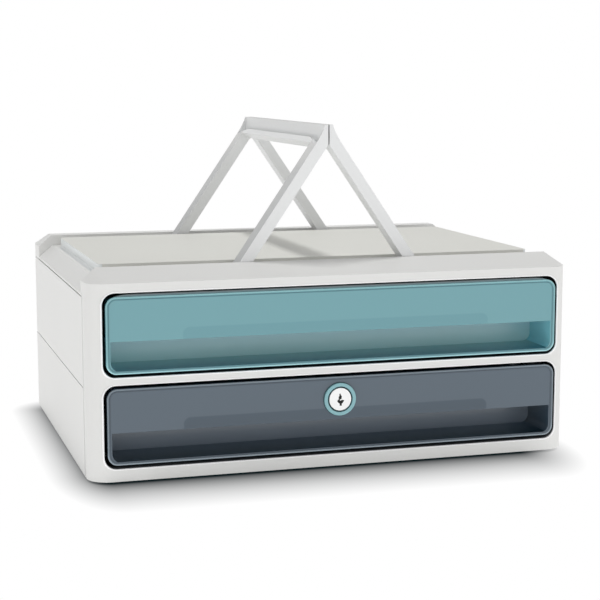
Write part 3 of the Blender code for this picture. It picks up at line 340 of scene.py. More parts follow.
# The case behind the frame is two tubs of the same polystyrene, stacked with a fine shadow line
# between them, and a plain shelf laid on a ledge between the bays. Their side walls carry on
# flush from the frame.
PLATE_ROUND = 0.0004
for node in ("lower_case", "upper_case"):
    tub = flat_faced(node + "_moulding", node)
    close_side_seam(tub)
    dress(tub, "casing", "white_plastic", case_white, node)
    soften(tub, SEAM_ROUND, steps=2, keep=at_side_seam)

shelf = flat_faced("middle_shelf_moulding", "middle_shelf")
dress(shelf, "casing", "white_plastic", case_white, "middle_shelf")
soften(shelf, PLATE_ROUND, steps=2)

# The top cover is a thin moulding with sloping flanks that drop to the side walls, and the rear
# rim closes it at the back. Both are the case's white polystyrene. The cover lies a few
# millimetres lower than the rims, which makes the groove that the bails fold into.
COVER_ROUND = 0.0008
FLANK_ANGLE = 12
cover = flat_faced("top_cover_moulding", "top_cover")
dress(cover, "casing", "white_plastic", case_white, "top_cover")
soften(cover, COVER_ROUND, angle=FLANK_ANGLE)

rear_rim = flat_faced("rear_rim_moulding", "rear_rim")
dress(rear_rim, "casing", "white_plastic", case_white, "rear_rim")
soften(rear_rim, EDGE_ROUND)

# The deck is a separate platform of a slightly warmer, flatter grey-white, clipped on the cover.
# Its coarser grain keeps papers from sliding. A small polished fillet leads down from each side.
# The deck's sides and these fillets are painted a lighter, cooler white than its top: painted light.
DECK_GREY = "#e3e3dd"
DECK_SIDE_PAINTED_LIGHT = "#e5e9e9"
DECK_ROUND = 0.0012
DECK_FOOT = 0.002
DECK_FILLET = 0.0022
FILLET_END = 0.005
FILLET_OVERLAP = 0.0004
FILLET_SINK = 0.0001
FILLET_STEPS = 6
deck_grey = polystyrene("grey_white_polystyrene_coarse_grain", DECK_GREY, 0.62, grain_mm=1.1, drift=0.015)
deck_side_painted_light = polystyrene("grey_white_polystyrene_side_painted_light", DECK_SIDE_PAINTED_LIGHT, 0.35, drift=0.0)
deck = flat_faced("top_deck_moulding", "top_deck")
dress(deck, "casing", "deck_plastic", deck_grey, "top_deck")
deck.data.materials.append(deck_side_painted_light)
# The deck's side faces take the lighter, cooler painted-light colour.
for face in deck.data.polygons:
    if abs(face.normal.x) > 0.3 and abs(face.normal.z) < 0.9:
        face.material_index = 1
deck_low, deck_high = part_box("top_deck")
deck_foot = deck_high.z - DECK_FOOT


def at_deck_foot(edge):
    """The deck's foot stands square on the cover."""
    return all(corner.co.z < deck_foot for corner in edge.verts)


soften(deck, DECK_ROUND, steps=4, keep=at_deck_foot)
cover_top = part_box("top_cover")[1].z
for word, side in (("left", -1), ("right", 1)):
    shape = bmesh.new()
    rings = []
    for y in (deck_low.y + FILLET_END, deck_high.y - FILLET_END):
        ring = [shape.verts.new((side * (deck_high.x - FILLET_OVERLAP), y, cover_top - 3 * FILLET_SINK))]
        for step in range(FILLET_STEPS + 1):
            turn = math.pi / 2 * step / FILLET_STEPS
            ring.append(shape.verts.new((side * (deck_high.x + DECK_FILLET * (1 - math.sin(turn))), y,
                                         cover_top + DECK_FILLET * (1 - math.cos(turn)) - FILLET_SINK)))
        rings.append(ring)
    for k in range(len(ring)):
        after = (k + 1) % len(ring)
        shape.faces.new((rings[0][k], rings[0][after], rings[1][after], rings[1][k]))
    for ring in rings:
        shape.faces.new(ring)
    dress(closed("deck_fillet_" + word, shape), "casing", "deck_plastic", deck_side_painted_light)

# The two bails are stiff U-shaped frames of glass-filled white plastic, square in section with
# softened edges. Each has a thin lip along its crossbar; raised, the lips meet back to back
# and make one grip, and folded they drop along the cover's flank. The legs' strips facing out and
# up, and the lips' top edges, are painted grey as shade, lighter toward the top of the legs.
BAIL_WHITE = "#e9eaea"
BAIL_SHADE_GREY = "#d2d3d3"
BAIL_SHADE_TOP = "#dededd"
UNDERSIDE_HEIGHTS = (0.2150, 0.2330)
LEG_WIDTH = 0.0155
LIP_TIP = 0.0006
MATT_SPECULAR = 0.25
BAIL_ROUND = 0.0005
bail_white = polystyrene("white_glass_filled_plastic", BAIL_WHITE, 0.4)
bail_painted_shade = polystyrene("glass_filled_plastic_matt_painted_shade", BAIL_SHADE_GREY, 0.7,
                             fade=("Z", UNDERSIDE_HEIGHTS[0], UNDERSIDE_HEIGHTS[1], BAIL_SHADE_TOP))
bail_painted_shade.node_tree.nodes["Principled BSDF"].inputs["Specular IOR Level"].default_value = MATT_SPECULAR
for word, side in (("left", -1), ("right", 1)):
    bail = flat_faced(word + "_bail_moulding", word + "_handle")
    dress(bail, word + "_bail", "white_plastic", bail_white, word + "_handle")
    bail.data.materials.append(bail_painted_shade)
    low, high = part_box(word + "_handle")
    shape = bmesh.new()
    shape.from_mesh(bail.data)
    for place in (low.y + LEG_WIDTH, high.y - LEG_WIDTH):
        bmesh.ops.bisect_plane(shape, geom=shape.verts[:] + shape.edges[:] + shape.faces[:],
                               dist=MERGE_DISTANCE, plane_co=(0.0, place, 0.0), plane_no=(0.0, 1.0, 0.0))
    # Faces on the legs facing out and up, and the lip's top edge, take the painted grey shade.
    for face in shape.faces:
        middle = face.calc_center_median()
        on_leg = min(middle.y - low.y, high.y - middle.y) < LEG_WIDTH
        underside = side * face.normal.x > 0.75 and face.normal.z > 0.4
        tip = face.normal.z > FACES_ALONG and middle.z > high.z - LIP_TIP
        face.material_index = 1 if tip or underside and on_leg else 0
    shape.to_mesh(bail.data)
    shape.free()
    soften(bail, BAIL_ROUND, angle=20)

# Four short steel pins carry the bails, one in each corner of the groove's walls. Each is a
# turned rod with a small chamfer at both ends, pressed through the leg from the frame.
STEEL_GREY = "#b9babb"
PIN_CHAMFER = 0.0003
MARK_SPREAD = 0.08


def steel(name, colour, roughness):
    """Zinc-plated steel: the metal's own grey with faint turning marks across it."""
    paint, tree, shader, place = fresh_paint(name)
    shader.inputs["Metallic"].default_value = 1.0
    marks = add(tree, "ShaderNodeTexNoise", {"Vector": place, "Scale": 900.0, "Detail": 3.0})
    tone = add(tree, "ShaderNodeMapRange", {"Value": marks.outputs["Fac"],
                                            "To Min": roughness - MARK_SPREAD,
                                            "To Max": roughness + MARK_SPREAD})
    tree.links.new(tone.outputs["Result"], shader.inputs["Roughness"])
    shader.inputs["Base Color"].default_value = srgb(colour)
    return paint


def pin_tree():
    """Plain rods along Y on the corners of a rectangular pattern in the XY plane."""
    tree, sizes = growth_tree("turned_pins",
                              (("Across", 0.13), ("Apart", 0.2), ("Radius", 0.002), ("Length", 0.027)))
    corners = add(tree, "GeometryNodeMeshGrid", {"Size X": sizes["Across"], "Size Y": sizes["Apart"],
                                                 "Vertices X": 2, "Vertices Y": 2})
    placed = add(tree, "GeometryNodeTransform", {"Geometry": corners.outputs["Mesh"],
                                                 "Translation": sizes["Middle"]})
    rod = add(tree, "GeometryNodeMeshCylinder", {"Vertices": 24, "Radius": sizes["Radius"],
                                                 "Depth": sizes["Length"]})
    laid = add(tree, "GeometryNodeTransform", {"Geometry": rod.outputs["Mesh"],
                                               "Rotation": (math.pi / 2, 0.0, 0.0)})
    pins = add(tree, "GeometryNodeInstanceOnPoints", {"Points": placed.outputs["Geometry"],
                                                      "Instance": laid.outputs["Geometry"]})
    real = add(tree, "GeometryNodeRealizeInstances", {"Geometry": pins.outputs["Instances"]})
    painted = add(tree, "GeometryNodeSetMaterial", {"Geometry": real.outputs["Geometry"],
                                                    "Material": sizes["Paint"]})
    add(tree, "NodeGroupOutput", {"Geometry": painted.outputs["Geometry"]})
    return tree


zinc = steel("zinc_plated_steel", STEEL_GREY, 0.3)
front_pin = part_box("hinge_pin_front_right")
back_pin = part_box("hinge_pin_back_right")
pin_middle = (front_pin[0] + front_pin[1]) / 2
back_middle = (back_pin[0] + back_pin[1]) / 2
pins = grown("bail_pins", pin_tree(), {
    "Across": 2 * pin_middle.x,
    "Apart": back_middle.y - pin_middle.y,
    "Radius": (front_pin[1].x - front_pin[0].x) / 2,
    "Length": front_pin[1].y - front_pin[0].y,
    "Middle": (0.0, (pin_middle.y + back_middle.y) / 2, pin_middle.z),
    "Paint": zinc,
})
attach(pins, "casing")
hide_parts("hinge_pin_front_left", "hinge_pin_front_right", "hinge_pin_back_left",
            "hinge_pin_back_right")
soften(pins, PIN_CHAMFER, steps=1)

# The drawers hang by their flanges in four white channels, one on each side of each bay.
# They are the case's polystyrene, with small rounds on all edges.
RUNNER_ROUND = 0.0003
for level in ("upper", "lower"):
    for word in ("left", "right"):
        node = "runner_" + level + "_" + word
        channel = flat_faced(node + "_moulding", node)
        dress(channel, "casing", "white_plastic", case_white, node)
        soften(channel, RUNNER_ROUND, steps=2)

# Each drawer is moulded in tinted see-through polystyrene with a high gloss, teal above and
# slate below. Its front is a panel over a finger recess as wide as the drawer, and a pocket
# behind the panel's lower edge takes the fingertips; the panel is painted darker over it, as
# painted shade standing in for the pocket seen through the tint. Light is painted into the
# recess too: its back wall, cheeks and floor are painted lighter where light would come through
# the plastic. The rim bead is painted lighter toward the bottom edge, a dark bead stands in for
# the shade of the groove inside the rim, and a grey fin fills the gap over the upper front with
# painted shade.
# Light and shade are painted in these colours: back, foot, cheek, floor and depth lift the recess as light
# through the plastic, low rim lightens the rim's bottom, and groove is the groove's painted shade.
TEAL = {"rim": "#84b7bc", "low rim": "#a5d8df", "groove": "#4d7f89", "panel": "#6da3ab", "painted_pocket_shade": "#659ba4",
        "back": "#aad8e1", "foot": "#bee7e9", "wall": "#5c99a8", "cheek": "#8cd8e4", "floor": "#438191",
        "depth": "#9bc7c9"}
SLATE = {"rim": "#74818b", "low rim": "#8f9da7", "groove": "#42505c", "panel": "#4f5e6b", "painted_pocket_shade": "#3a4b59",
         "back": "#737f8b", "foot": "#8694a3", "wall": "#344756", "cheek": "#3d4f5e", "floor": "#062834",
         "depth": "#586f81"}
PANEL_STEP = 0.0006
PANEL_HEIGHT = 0.0297
RECESS_DEPTH = 0.0354
RIM_BAND = 0.0021
POCKET_HALF = 0.117
POCKET_RISE = 0.0084
POCKET_ROUND = 0.005
POCKET_BLUR = 0.0006
TONE_DROP = 0.97
RIPPLE_DEPTH = 0.00008
FRONT_MERGE = 0.00002
FACE_REACH = 0.0001
RECESS_SKIN = 0.001
RECESS_MIDDLE = 0.03
FOOT_FADE = 0.004
RIM_FADE = (0.003, 0.012)
FRONT_CORNER = 0.0074
FLOOR_SPECULAR = 0.2


def tinted(name, colour, roughness=0.12, painted_pocket_shade=None, patch=None, fade=None):
    """Tinted clear polystyrene with its depth seen as body colour under a clear glossy skin.

    An optional colour is painted as shade in a patch where a pocket lies behind the panel,
    standing in for the pocket seen through the tint, and patch holds the pocket's half width,
    low edge, height and corner radius.
    """
    paint, tree, shader, place = fresh_paint(name)
    shader.inputs["IOR"].default_value = POLYSTYRENE_IOR
    shader.inputs["Coat Weight"].default_value = 0.4
    shader.inputs["Coat Roughness"].default_value = 0.05
    cloud = add(tree, "ShaderNodeTexNoise", {"Vector": place, "Scale": 14.0, "Detail": 2.0})
    dark = [c * TONE_DROP for c in srgb(colour)[:3]] + [1.0]
    tone = add(tree, "ShaderNodeMix", {0: cloud.outputs["Fac"], 6: dark, 7: srgb(colour)}, data_type="RGBA")
    body = faded(tree, place, tone.outputs[2], fade) if fade else tone.outputs[2]
    # The pocket patch is painted shade: the panel drawn darker where the pocket lies behind it.
    if painted_pocket_shade:
        half, low, rise, corner = patch
        spot = add(tree, "ShaderNodeSeparateXYZ", {"Vector": place}).outputs
        across = add(tree, "ShaderNodeMath", {0: spot["X"]}, operation="ABSOLUTE").outputs[0]
        side = add(tree, "ShaderNodeMath", {0: across, 1: half - corner}, operation="SUBTRACT").outputs[0]
        over = add(tree, "ShaderNodeMath", {0: spot["Z"], 1: low + rise - corner},
                   operation="SUBTRACT").outputs[0]
        side = add(tree, "ShaderNodeMath", {0: side, 1: 0.0}, operation="MAXIMUM").outputs[0]
        over = add(tree, "ShaderNodeMath", {0: over, 1: 0.0}, operation="MAXIMUM").outputs[0]
        reach = add(tree, "ShaderNodeCombineXYZ", {"X": side, "Z": over})
        away = add(tree, "ShaderNodeVectorMath", {0: reach.outputs[0]}, operation="LENGTH").outputs["Value"]
        inside = add(tree, "ShaderNodeMapRange", {"Value": away, "From Min": corner - POCKET_BLUR,
                                                  "From Max": corner + POCKET_BLUR,
                                                  "To Min": 1.0, "To Max": 0.0},
                     interpolation_type="SMOOTHSTEP")
        body = add(tree, "ShaderNodeMix", {0: inside.outputs["Result"], 6: body, 7: srgb(painted_pocket_shade)},
                   data_type="RGBA").outputs[2]
    tree.links.new(body, shader.inputs["Base Color"])
    ripple = add(tree, "ShaderNodeTexNoise", {"Vector": place, "Scale": 60.0, "Detail": 1.0})
    gloss = add(tree, "ShaderNodeMapRange", {"Value": ripple.outputs["Fac"], "To Min": roughness,
                                             "To Max": roughness + 0.06})
    tree.links.new(gloss.outputs["Result"], shader.inputs["Roughness"])
    wave = add(tree, "ShaderNodeBump", {"Height": ripple.outputs["Fac"], "Distance": RIPPLE_DEPTH,
                                        "Strength": 0.2})
    tree.links.new(wave.outputs["Normal"], shader.inputs["Normal"])
    return paint


# The fin is a stand-in whose colours are painted shade for the gap over the upper front.
FIN_HEIGHT = 0.0016
FIN_SINK = 0.0002
FIN_DEPTH = (0.0003, 0.0040)
FIN_END = 0.162
FIN_TAPERS = (0.004, 0.006)
FIN_SHADE_LOW = "#6d8a90"
FIN_SHADE_HIGH = "#576468"


def gap_shade_fin(low, high):
    """A thin fin along the top edge of the upper front, which fills most of the gap there. Its colour is painted
    shade: the half-lit tone seen in that gap, darker toward the top.
    """
    front, back = (low.y + PANEL_STEP + depth for depth in FIN_DEPTH)
    section = [(front, 0.0), (front, 0.55), (front + 0.0003, 0.85), (front + 0.0008, 1.0),
               (back, 1.0), (back, 0.0)]
    half = [(FIN_END + FIN_TAPERS[0], 0.05), (FIN_END, 0.7), (FIN_END - FIN_TAPERS[1], 1.0)]
    shape = bmesh.new()
    rings = []
    for x, share in [(-x, share) for x, share in half] + half[::-1]:
        rings.append([shape.verts.new((x, y, high.z - FIN_SINK + (FIN_HEIGHT * rise + FIN_SINK) * share))
                      for y, rise in section])
    for one, other in zip(rings, rings[1:]):
        for k in range(len(section)):
            after = (k + 1) % len(section)
            shape.faces.new((one[k], one[after], other[after], other[k]))
    shape.faces.new(rings[0])
    shape.faces.new(rings[-1])
    fin = closed("upper_front_gap_shade_fin", shape)
    fin.data.shade_smooth()
    return fin


for level, colours, slot in (("upper", TEAL, "teal_plastic"), ("lower", SLATE, "slate_plastic")):
    body = level + "_drawer"
    low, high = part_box(level + "_front")
    panel_y = low.y + PANEL_STEP
    boundary = high.z - RIM_BAND - PANEL_HEIGHT
    finish = slot.split("_")[0] + "_tinted_polystyrene"
    wall = tinted(finish, colours["wall"])
    panel = tinted(finish + "_panel", colours["panel"], painted_pocket_shade=colours["painted_pocket_shade"],
                   patch=(POCKET_HALF, boundary, POCKET_RISE, POCKET_ROUND))
    # The recess's back wall is painted light, lightest at its foot.
    back = tinted(finish + "_recess_back", colours["foot"], 0.3,
                  fade=("Z", low.z + FOOT_FADE, boundary, colours["back"]))
    # The recess floor is painted light, lighter toward the back.
    sole = tinted(finish + "_recess_floor_painted_light", colours["floor"], 0.3,
                  fade=("Y", panel_y, panel_y + RECESS_DEPTH, colours["depth"]))
    dull = sole.node_tree.nodes["Principled BSDF"].inputs
    dull["Specular IOR Level"].default_value = FLOOR_SPECULAR
    dull["Coat Weight"].default_value = 0.0
    # The recess cheeks are painted light, lighter than the drawer's walls.
    cheek = tinted(finish + "_recess_cheek_painted_light", colours["cheek"], 0.3)
    # The rim bead is painted lighter toward the front's bottom edge: painted light.
    rim = tinted(finish + "_rim", colours["low rim"],
                 fade=("Z", low.z + RIM_FADE[0], low.z + RIM_FADE[1], colours["rim"]))
    # The groove colour is painted shade, on a dark bead that stands in for the groove's shade inside the rim.
    groove = tinted(finish + "_groove", colours["groove"], 0.3)
    front = linked(level + "_front_moulding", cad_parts[level + "_front"].data.copy())
    shape = bmesh.new()
    shape.from_mesh(front.data)
    for corner in shape.verts:
        corner.co.y = max(corner.co.y, panel_y)
    bmesh.ops.remove_doubles(shape, verts=shape.verts, dist=FRONT_MERGE)
    bmesh.ops.dissolve_degenerate(shape, edges=shape.edges, dist=MERGE_DISTANCE)
    bmesh.ops.dissolve_limit(shape, angle_limit=math.radians(FLAT_ANGLE), verts=shape.verts,
                             edges=shape.edges)
    shape.to_mesh(front.data)
    shape.free()
    dress(front, body, slot, wall, level + "_front")
    for paint in (panel, back, sole, cheek):
        front.data.materials.append(paint)
    for face in front.data.polygons:
        middle = face.center
        in_recess = low.z + RECESS_SKIN < middle.z < boundary
        if face.normal.y < -FACES_ALONG and abs(middle.y - panel_y) < FACE_REACH:
            face.material_index = 1
        elif face.normal.y < -FACES_ALONG and abs(middle.y - panel_y) > RECESS_MIDDLE:
            face.material_index = 2
        elif face.normal.z > FACES_ALONG and in_recess:
            face.material_index = 3
        elif abs(face.normal.x) > 0.3 and abs(middle.x) < high.x - RECESS_SKIN and in_recess:
            face.material_index = 4
    soften(front, PLATE_ROUND, steps=2)
    for word, radius, inset, out, paint in (("bead", 0.00062, 0.00062, 0.00002, rim),
                                            ("groove", 0.0004, 0.0021, 0.0001, groove)):
        bead = grown(level + "_front_" + word, bead_tree, {
            "Width": high.x - low.x - 2 * inset,
            "Height": high.z - low.z - 2 * inset,
            "Corner": FRONT_CORNER - inset,
            "Bead": radius,
            "Middle": (0.0, panel_y + out, (low.z + high.z) / 2),
            "Paint": paint,
        })
        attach(bead, body)
    if level == "upper":
        fin_painted_shade = tinted(finish + "_gap_shade_fin", FIN_SHADE_LOW, 0.3,
                           fade=("Z", high.z, high.z + FIN_HEIGHT, FIN_SHADE_HIGH))
        dress(gap_shade_fin(low, high), body, slot, fin_painted_shade)
    tray = flat_faced(level + "_tray_moulding", level + "_tray", ring_axis=2)
    dress(tray, body, slot, wall, level + "_tray")
    soften(tray, PLATE_ROUND, steps=2)

# Two small pan-head screws hold each tray to its front, from inside the tray: zinc-plated steel
# with a cross recess.


def screw_tree():
    """Pan-head screws along Y, a pair set apart along X, with a cross recess in each head."""
    tree, sizes = growth_tree("pan_head_screws", (("Apart", 0.3), ("Head Radius", 0.0032), ("Head", 0.002),
                                                  ("Shank Radius", 0.0015), ("Shank", 0.0055)))
    ends = add(tree, "GeometryNodeMeshGrid", {"Size X": sizes["Apart"], "Size Y": 0.0, "Vertices X": 2,
                                              "Vertices Y": 1})
    placed = add(tree, "GeometryNodeTransform", {"Geometry": ends.outputs["Mesh"],
                                                 "Translation": sizes["Middle"]})
    head = add(tree, "GeometryNodeMeshCylinder", {"Vertices": 28, "Radius": sizes["Head Radius"],
                                                  "Depth": sizes["Head"]})
    slot_length = add(tree, "ShaderNodeMath", {0: sizes["Head Radius"], 1: 1.2}, operation="MULTIPLY")
    slot_width = add(tree, "ShaderNodeMath", {0: sizes["Head Radius"], 1: 0.28}, operation="MULTIPLY")
    cross_size = add(tree, "ShaderNodeCombineXYZ", {0: slot_length.outputs[0], 1: slot_width.outputs[0],
                                                    2: sizes["Head"]})
    turned_size = add(tree, "ShaderNodeCombineXYZ", {0: slot_width.outputs[0], 1: slot_length.outputs[0],
                                                     2: sizes["Head"]})
    raise_cut = add(tree, "ShaderNodeMath", {0: sizes["Head"], 1: 0.55}, operation="MULTIPLY")
    lift = add(tree, "ShaderNodeCombineXYZ", {2: raise_cut.outputs[0]})
    bar = add(tree, "GeometryNodeMeshCube", {"Size": cross_size.outputs[0]})
    bar_up = add(tree, "GeometryNodeTransform", {"Geometry": bar.outputs["Mesh"],
                                                 "Translation": lift.outputs[0]})
    other = add(tree, "GeometryNodeMeshCube", {"Size": turned_size.outputs[0]})
    other_up = add(tree, "GeometryNodeTransform", {"Geometry": other.outputs["Mesh"],
                                                   "Translation": lift.outputs[0]})
    first = add(tree, "GeometryNodeMeshBoolean", {"Mesh 1": head.outputs["Mesh"],
                                                  "Mesh 2": bar_up.outputs["Geometry"]}, operation="DIFFERENCE")
    second = add(tree, "GeometryNodeMeshBoolean", {"Mesh 1": first.outputs["Mesh"],
                                                   "Mesh 2": other_up.outputs["Geometry"]},
                 operation="DIFFERENCE")
    shank = add(tree, "GeometryNodeMeshCylinder", {"Vertices": 16, "Radius": sizes["Shank Radius"],
                                                   "Depth": sizes["Shank"]})
    drop = add(tree, "ShaderNodeMath", {0: sizes["Shank"], 1: sizes["Head"]}, operation="ADD")
    half = add(tree, "ShaderNodeMath", {0: drop.outputs[0], 1: -0.5}, operation="MULTIPLY")
    under = add(tree, "ShaderNodeCombineXYZ", {2: half.outputs[0]})
    shank_down = add(tree, "GeometryNodeTransform", {"Geometry": shank.outputs["Mesh"],
                                                     "Translation": under.outputs[0]})
    whole = add(tree, "GeometryNodeJoinGeometry")
    tree.links.new(shank_down.outputs["Geometry"], whole.inputs[0])
    tree.links.new(second.outputs["Mesh"], whole.inputs[0])
    laid = add(tree, "GeometryNodeTransform", {"Geometry": whole.outputs["Geometry"],
                                               "Rotation": (-math.pi / 2, 0.0, 0.0)})
    screws = add(tree, "GeometryNodeInstanceOnPoints", {"Points": placed.outputs["Geometry"],
                                                        "Instance": laid.outputs["Geometry"]})
    real = add(tree, "GeometryNodeRealizeInstances", {"Geometry": screws.outputs["Instances"]})
    painted = add(tree, "GeometryNodeSetMaterial", {"Geometry": real.outputs["Geometry"],
                                                    "Material": sizes["Paint"]})
    add(tree, "NodeGroupOutput", {"Geometry": painted.outputs["Geometry"]})
    return tree


pan_heads = screw_tree()
SCREW_HEAD = 0.002
SCREW_ROUND = 0.00015
for level in ("upper", "lower"):
    low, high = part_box(level + "_screw_right")
    middle = (low + high) / 2
    screws = grown(level + "_tray_screws", pan_heads, {
        "Apart": 2 * middle.x,
        "Head Radius": (high.x - low.x) / 2,
        "Head": SCREW_HEAD,
        "Shank": high.y - low.y - SCREW_HEAD,
        "Middle": (0.0, high.y - SCREW_HEAD / 2, middle.z),
        "Paint": zinc,
    })
    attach(screws, level + "_drawer")
    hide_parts(level + "_screw_left", level + "_screw_right")
    soften(screws, SCREW_ROUND, steps=1)

# The lower drawer's cam lock: a teal rosette pressed on the panel, a zinc die-cast barrel held by
# a thin nut behind it, and a white plug. A black plate just proud of the plug fills its key slot as
# painted shadow, and the barrel is painted dark teal as shade where it shows between rosette and
# plug, as is a thin ring showing round the rosette, a painted contact shadow. A flat steel cam on
# the plug's tail, held by a small screw, swings up behind the case's middle bar.
ROSETTE_TEAL = "#86b9c0"
PLUG_WHITE = "#ffffff"
KEY_SLOT_SHADE_BLACK = "#050607"
LOCK_SHADE_TEAL = "#23454c"
lock_centre = (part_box("lock_ring")[0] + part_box("lock_ring")[1]) / 2
KEY_SLOT_SHARES = (
    (-0.08, 0.43), (0.03, 0.45), (0.03, 0.33), (0.12, 0.26), (0.10, 0.08), (0.06, -0.02),
    (0.09, -0.09), (0.18, -0.07), (0.32, -0.09), (0.20, -0.29), (0.11, -0.36), (0.13, -0.51),
    (-0.06, -0.51), (-0.04, -0.36), (-0.20, -0.24), (-0.26, -0.12), (-0.13, 0.02), (-0.14, 0.16),
    (-0.08, 0.29),
)
KEY_SLOT_SPREAD = 1.12
KEY_SLOT_PROUD = 0.00003
KEY_SLOT_DEPTH = 0.0015
PIN_PLACE = (0.0001, -0.0005)
PIN_RADII = (0.0005, 0.0006)
PIN_PROUD = 0.0001
PIN_DEPTH = 0.0003
RING_SHADOW_INSET = 0.001
RING_SHADOW_SHOWS = 0.0004
RING_SHADOW_PROUD = 0.00008
CAM_ROUND = 0.0003


def turned(name, profile, sides=64):
    """A piece turned on the lock's axis from a closed profile of radius and depth."""
    shape = bmesh.new()
    rings = []
    for radius, place in profile:
        rings.append([shape.verts.new((lock_centre.x + radius * math.sin(2 * math.pi * k / sides), place,
                                       lock_centre.z + radius * math.cos(2 * math.pi * k / sides)))
                      for k in range(sides if radius > 0 else 1)])
    for one, other in zip(rings, rings[1:] + rings[:1]):
        if len(one) == 1 and len(other) == 1:
            continue
        for k in range(sides):
            after = (k + 1) % sides
            if len(one) == 1:
                shape.faces.new((one[0], other[after], other[k]))
            elif len(other) == 1:
                shape.faces.new((one[k], one[after], other[0]))
            else:
                shape.faces.new((one[k], one[after], other[after], other[k]))
    return closed(name, shape)


ring_low, ring_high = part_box("lock_ring")
body_low, body_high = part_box("lock_body")
ring_outer = (ring_high.x - ring_low.x) / 2
body_radius = (body_high.x - body_low.x) / 2
rosette = turned("lock_rosette", [
    (ring_outer, ring_high.y), (ring_outer, ring_low.y + 0.0005), (ring_outer - 0.0001, ring_low.y + 0.0002),
    (ring_outer - 0.0004, ring_low.y), (body_radius + 0.0006, ring_low.y),
    (body_radius + 0.0003, ring_low.y + 0.0003), (body_radius + 0.0003, ring_high.y),
])
rosette_teal = tinted("teal_abs_rosette", ROSETTE_TEAL, 0.3)
dress(rosette, "lower_drawer", "lock_teal", rosette_teal, "lock_ring")
soften(rosette, 0.0001, steps=1, angle=60)

# This dark teal is painted shade, on the barrel and on the ring round the rosette.
lock_painted_shade = polystyrene("dark_teal_painted_shade", LOCK_SHADE_TEAL, 0.7, drift=0.0)
barrel = flat_faced("lock_barrel", "lock_body")
dress(barrel, "lower_drawer", "steel", lock_painted_shade, "lock_body")
soften(barrel, 0.0002, steps=1)
nut = flat_faced("lock_nut_plated", "lock_nut", ring_axis=1)
dress(nut, "lower_drawer", "steel", zinc, "lock_nut")
soften(nut, CAM_ROUND, steps=1)

plug_low, plug_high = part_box("lock_plug")
plug_radius = (plug_high.x - plug_low.x) / 2
plug = flat_faced("lock_plug_moulding", "lock_plug")
plug_white = polystyrene("white_acetal_plug", PLUG_WHITE, 0.25, drift=0.0)
dress(plug, "lock_turn", "plug_white", plug_white, "lock_plug")
soften(plug, 0.00025, steps=2)

shape = bmesh.new()
corners = [shape.verts.new((lock_centre.x + x * KEY_SLOT_SPREAD * plug_radius,
                            plug_low.y - KEY_SLOT_PROUD,
                            lock_centre.z + z * KEY_SLOT_SPREAD * plug_radius))
           for x, z in KEY_SLOT_SHARES]
mouth = shape.faces.new(corners)
shape.normal_update()
if mouth.normal.y > 0:
    mouth.normal_flip()
pushed = bmesh.ops.extrude_face_region(shape, geom=[mouth])
for item in pushed["geom"]:
    if isinstance(item, bmesh.types.BMVert):
        item.co.y += KEY_SLOT_DEPTH
# The key slot plate's black is painted shadow.
key_slot_painted_shadow = polystyrene("black_key_slot_painted_shadow", KEY_SLOT_SHADE_BLACK, 0.8, drift=0.0)
dress(closed("key_slot_shadow", shape), "lock_turn", "steel", key_slot_painted_shadow)

pin_face = plug_low.y - PIN_PROUD
pin_back = pin_face + PIN_DEPTH
centre_pin = turned("lock_centre_pin", [(0.0, pin_face), (PIN_RADII[0], pin_face),
                                        (PIN_RADII[1], pin_back), (0.0, pin_back)], sides=20)
for corner in centre_pin.data.vertices:
    corner.co.x += PIN_PLACE[0]
    corner.co.z += PIN_PLACE[1]
dress(centre_pin, "lock_turn", "plug_white", plug_white)
# A thin dark ring round the rosette's edge is a painted contact shadow.
ring_shadow_face = panel_y - RING_SHADOW_PROUD
ring_shadow_back = ring_shadow_face + RING_SHADOW_SHOWS
ring_shadow_inner = ring_outer - RING_SHADOW_INSET
ring_shadow_outer = ring_outer + RING_SHADOW_SHOWS
rosette_shadow_ring = turned("lock_rosette_painted_shadow_ring", [(ring_shadow_inner, ring_shadow_face), (ring_shadow_outer, ring_shadow_face),
                                    (ring_shadow_outer, ring_shadow_back), (ring_shadow_inner, ring_shadow_back)])
dress(rosette_shadow_ring, "lower_drawer", "lock_teal", lock_painted_shade)

cam = flat_faced("lock_cam_plated", "lock_cam")
dress(cam, "lock_turn", "steel", zinc, "lock_cam")
soften(cam, CAM_ROUND, steps=1)
cam_screw = flat_faced("cam_screw_plated", "cam_screw")
dress(cam_screw, "lock_turn", "steel", zinc, "cam_screw")
soften(cam_screw, CAM_ROUND, steps=1)

# Four black rubber feet, pushed into the case's floor by their stems. Each has raised rings
# under it that grip the desk.
RUBBER_BLACK = "#2a2a2b"
FOOT_DISC = 0.0013
FOOT_LIFT = 0.0004
GRIP_RING = 0.00035


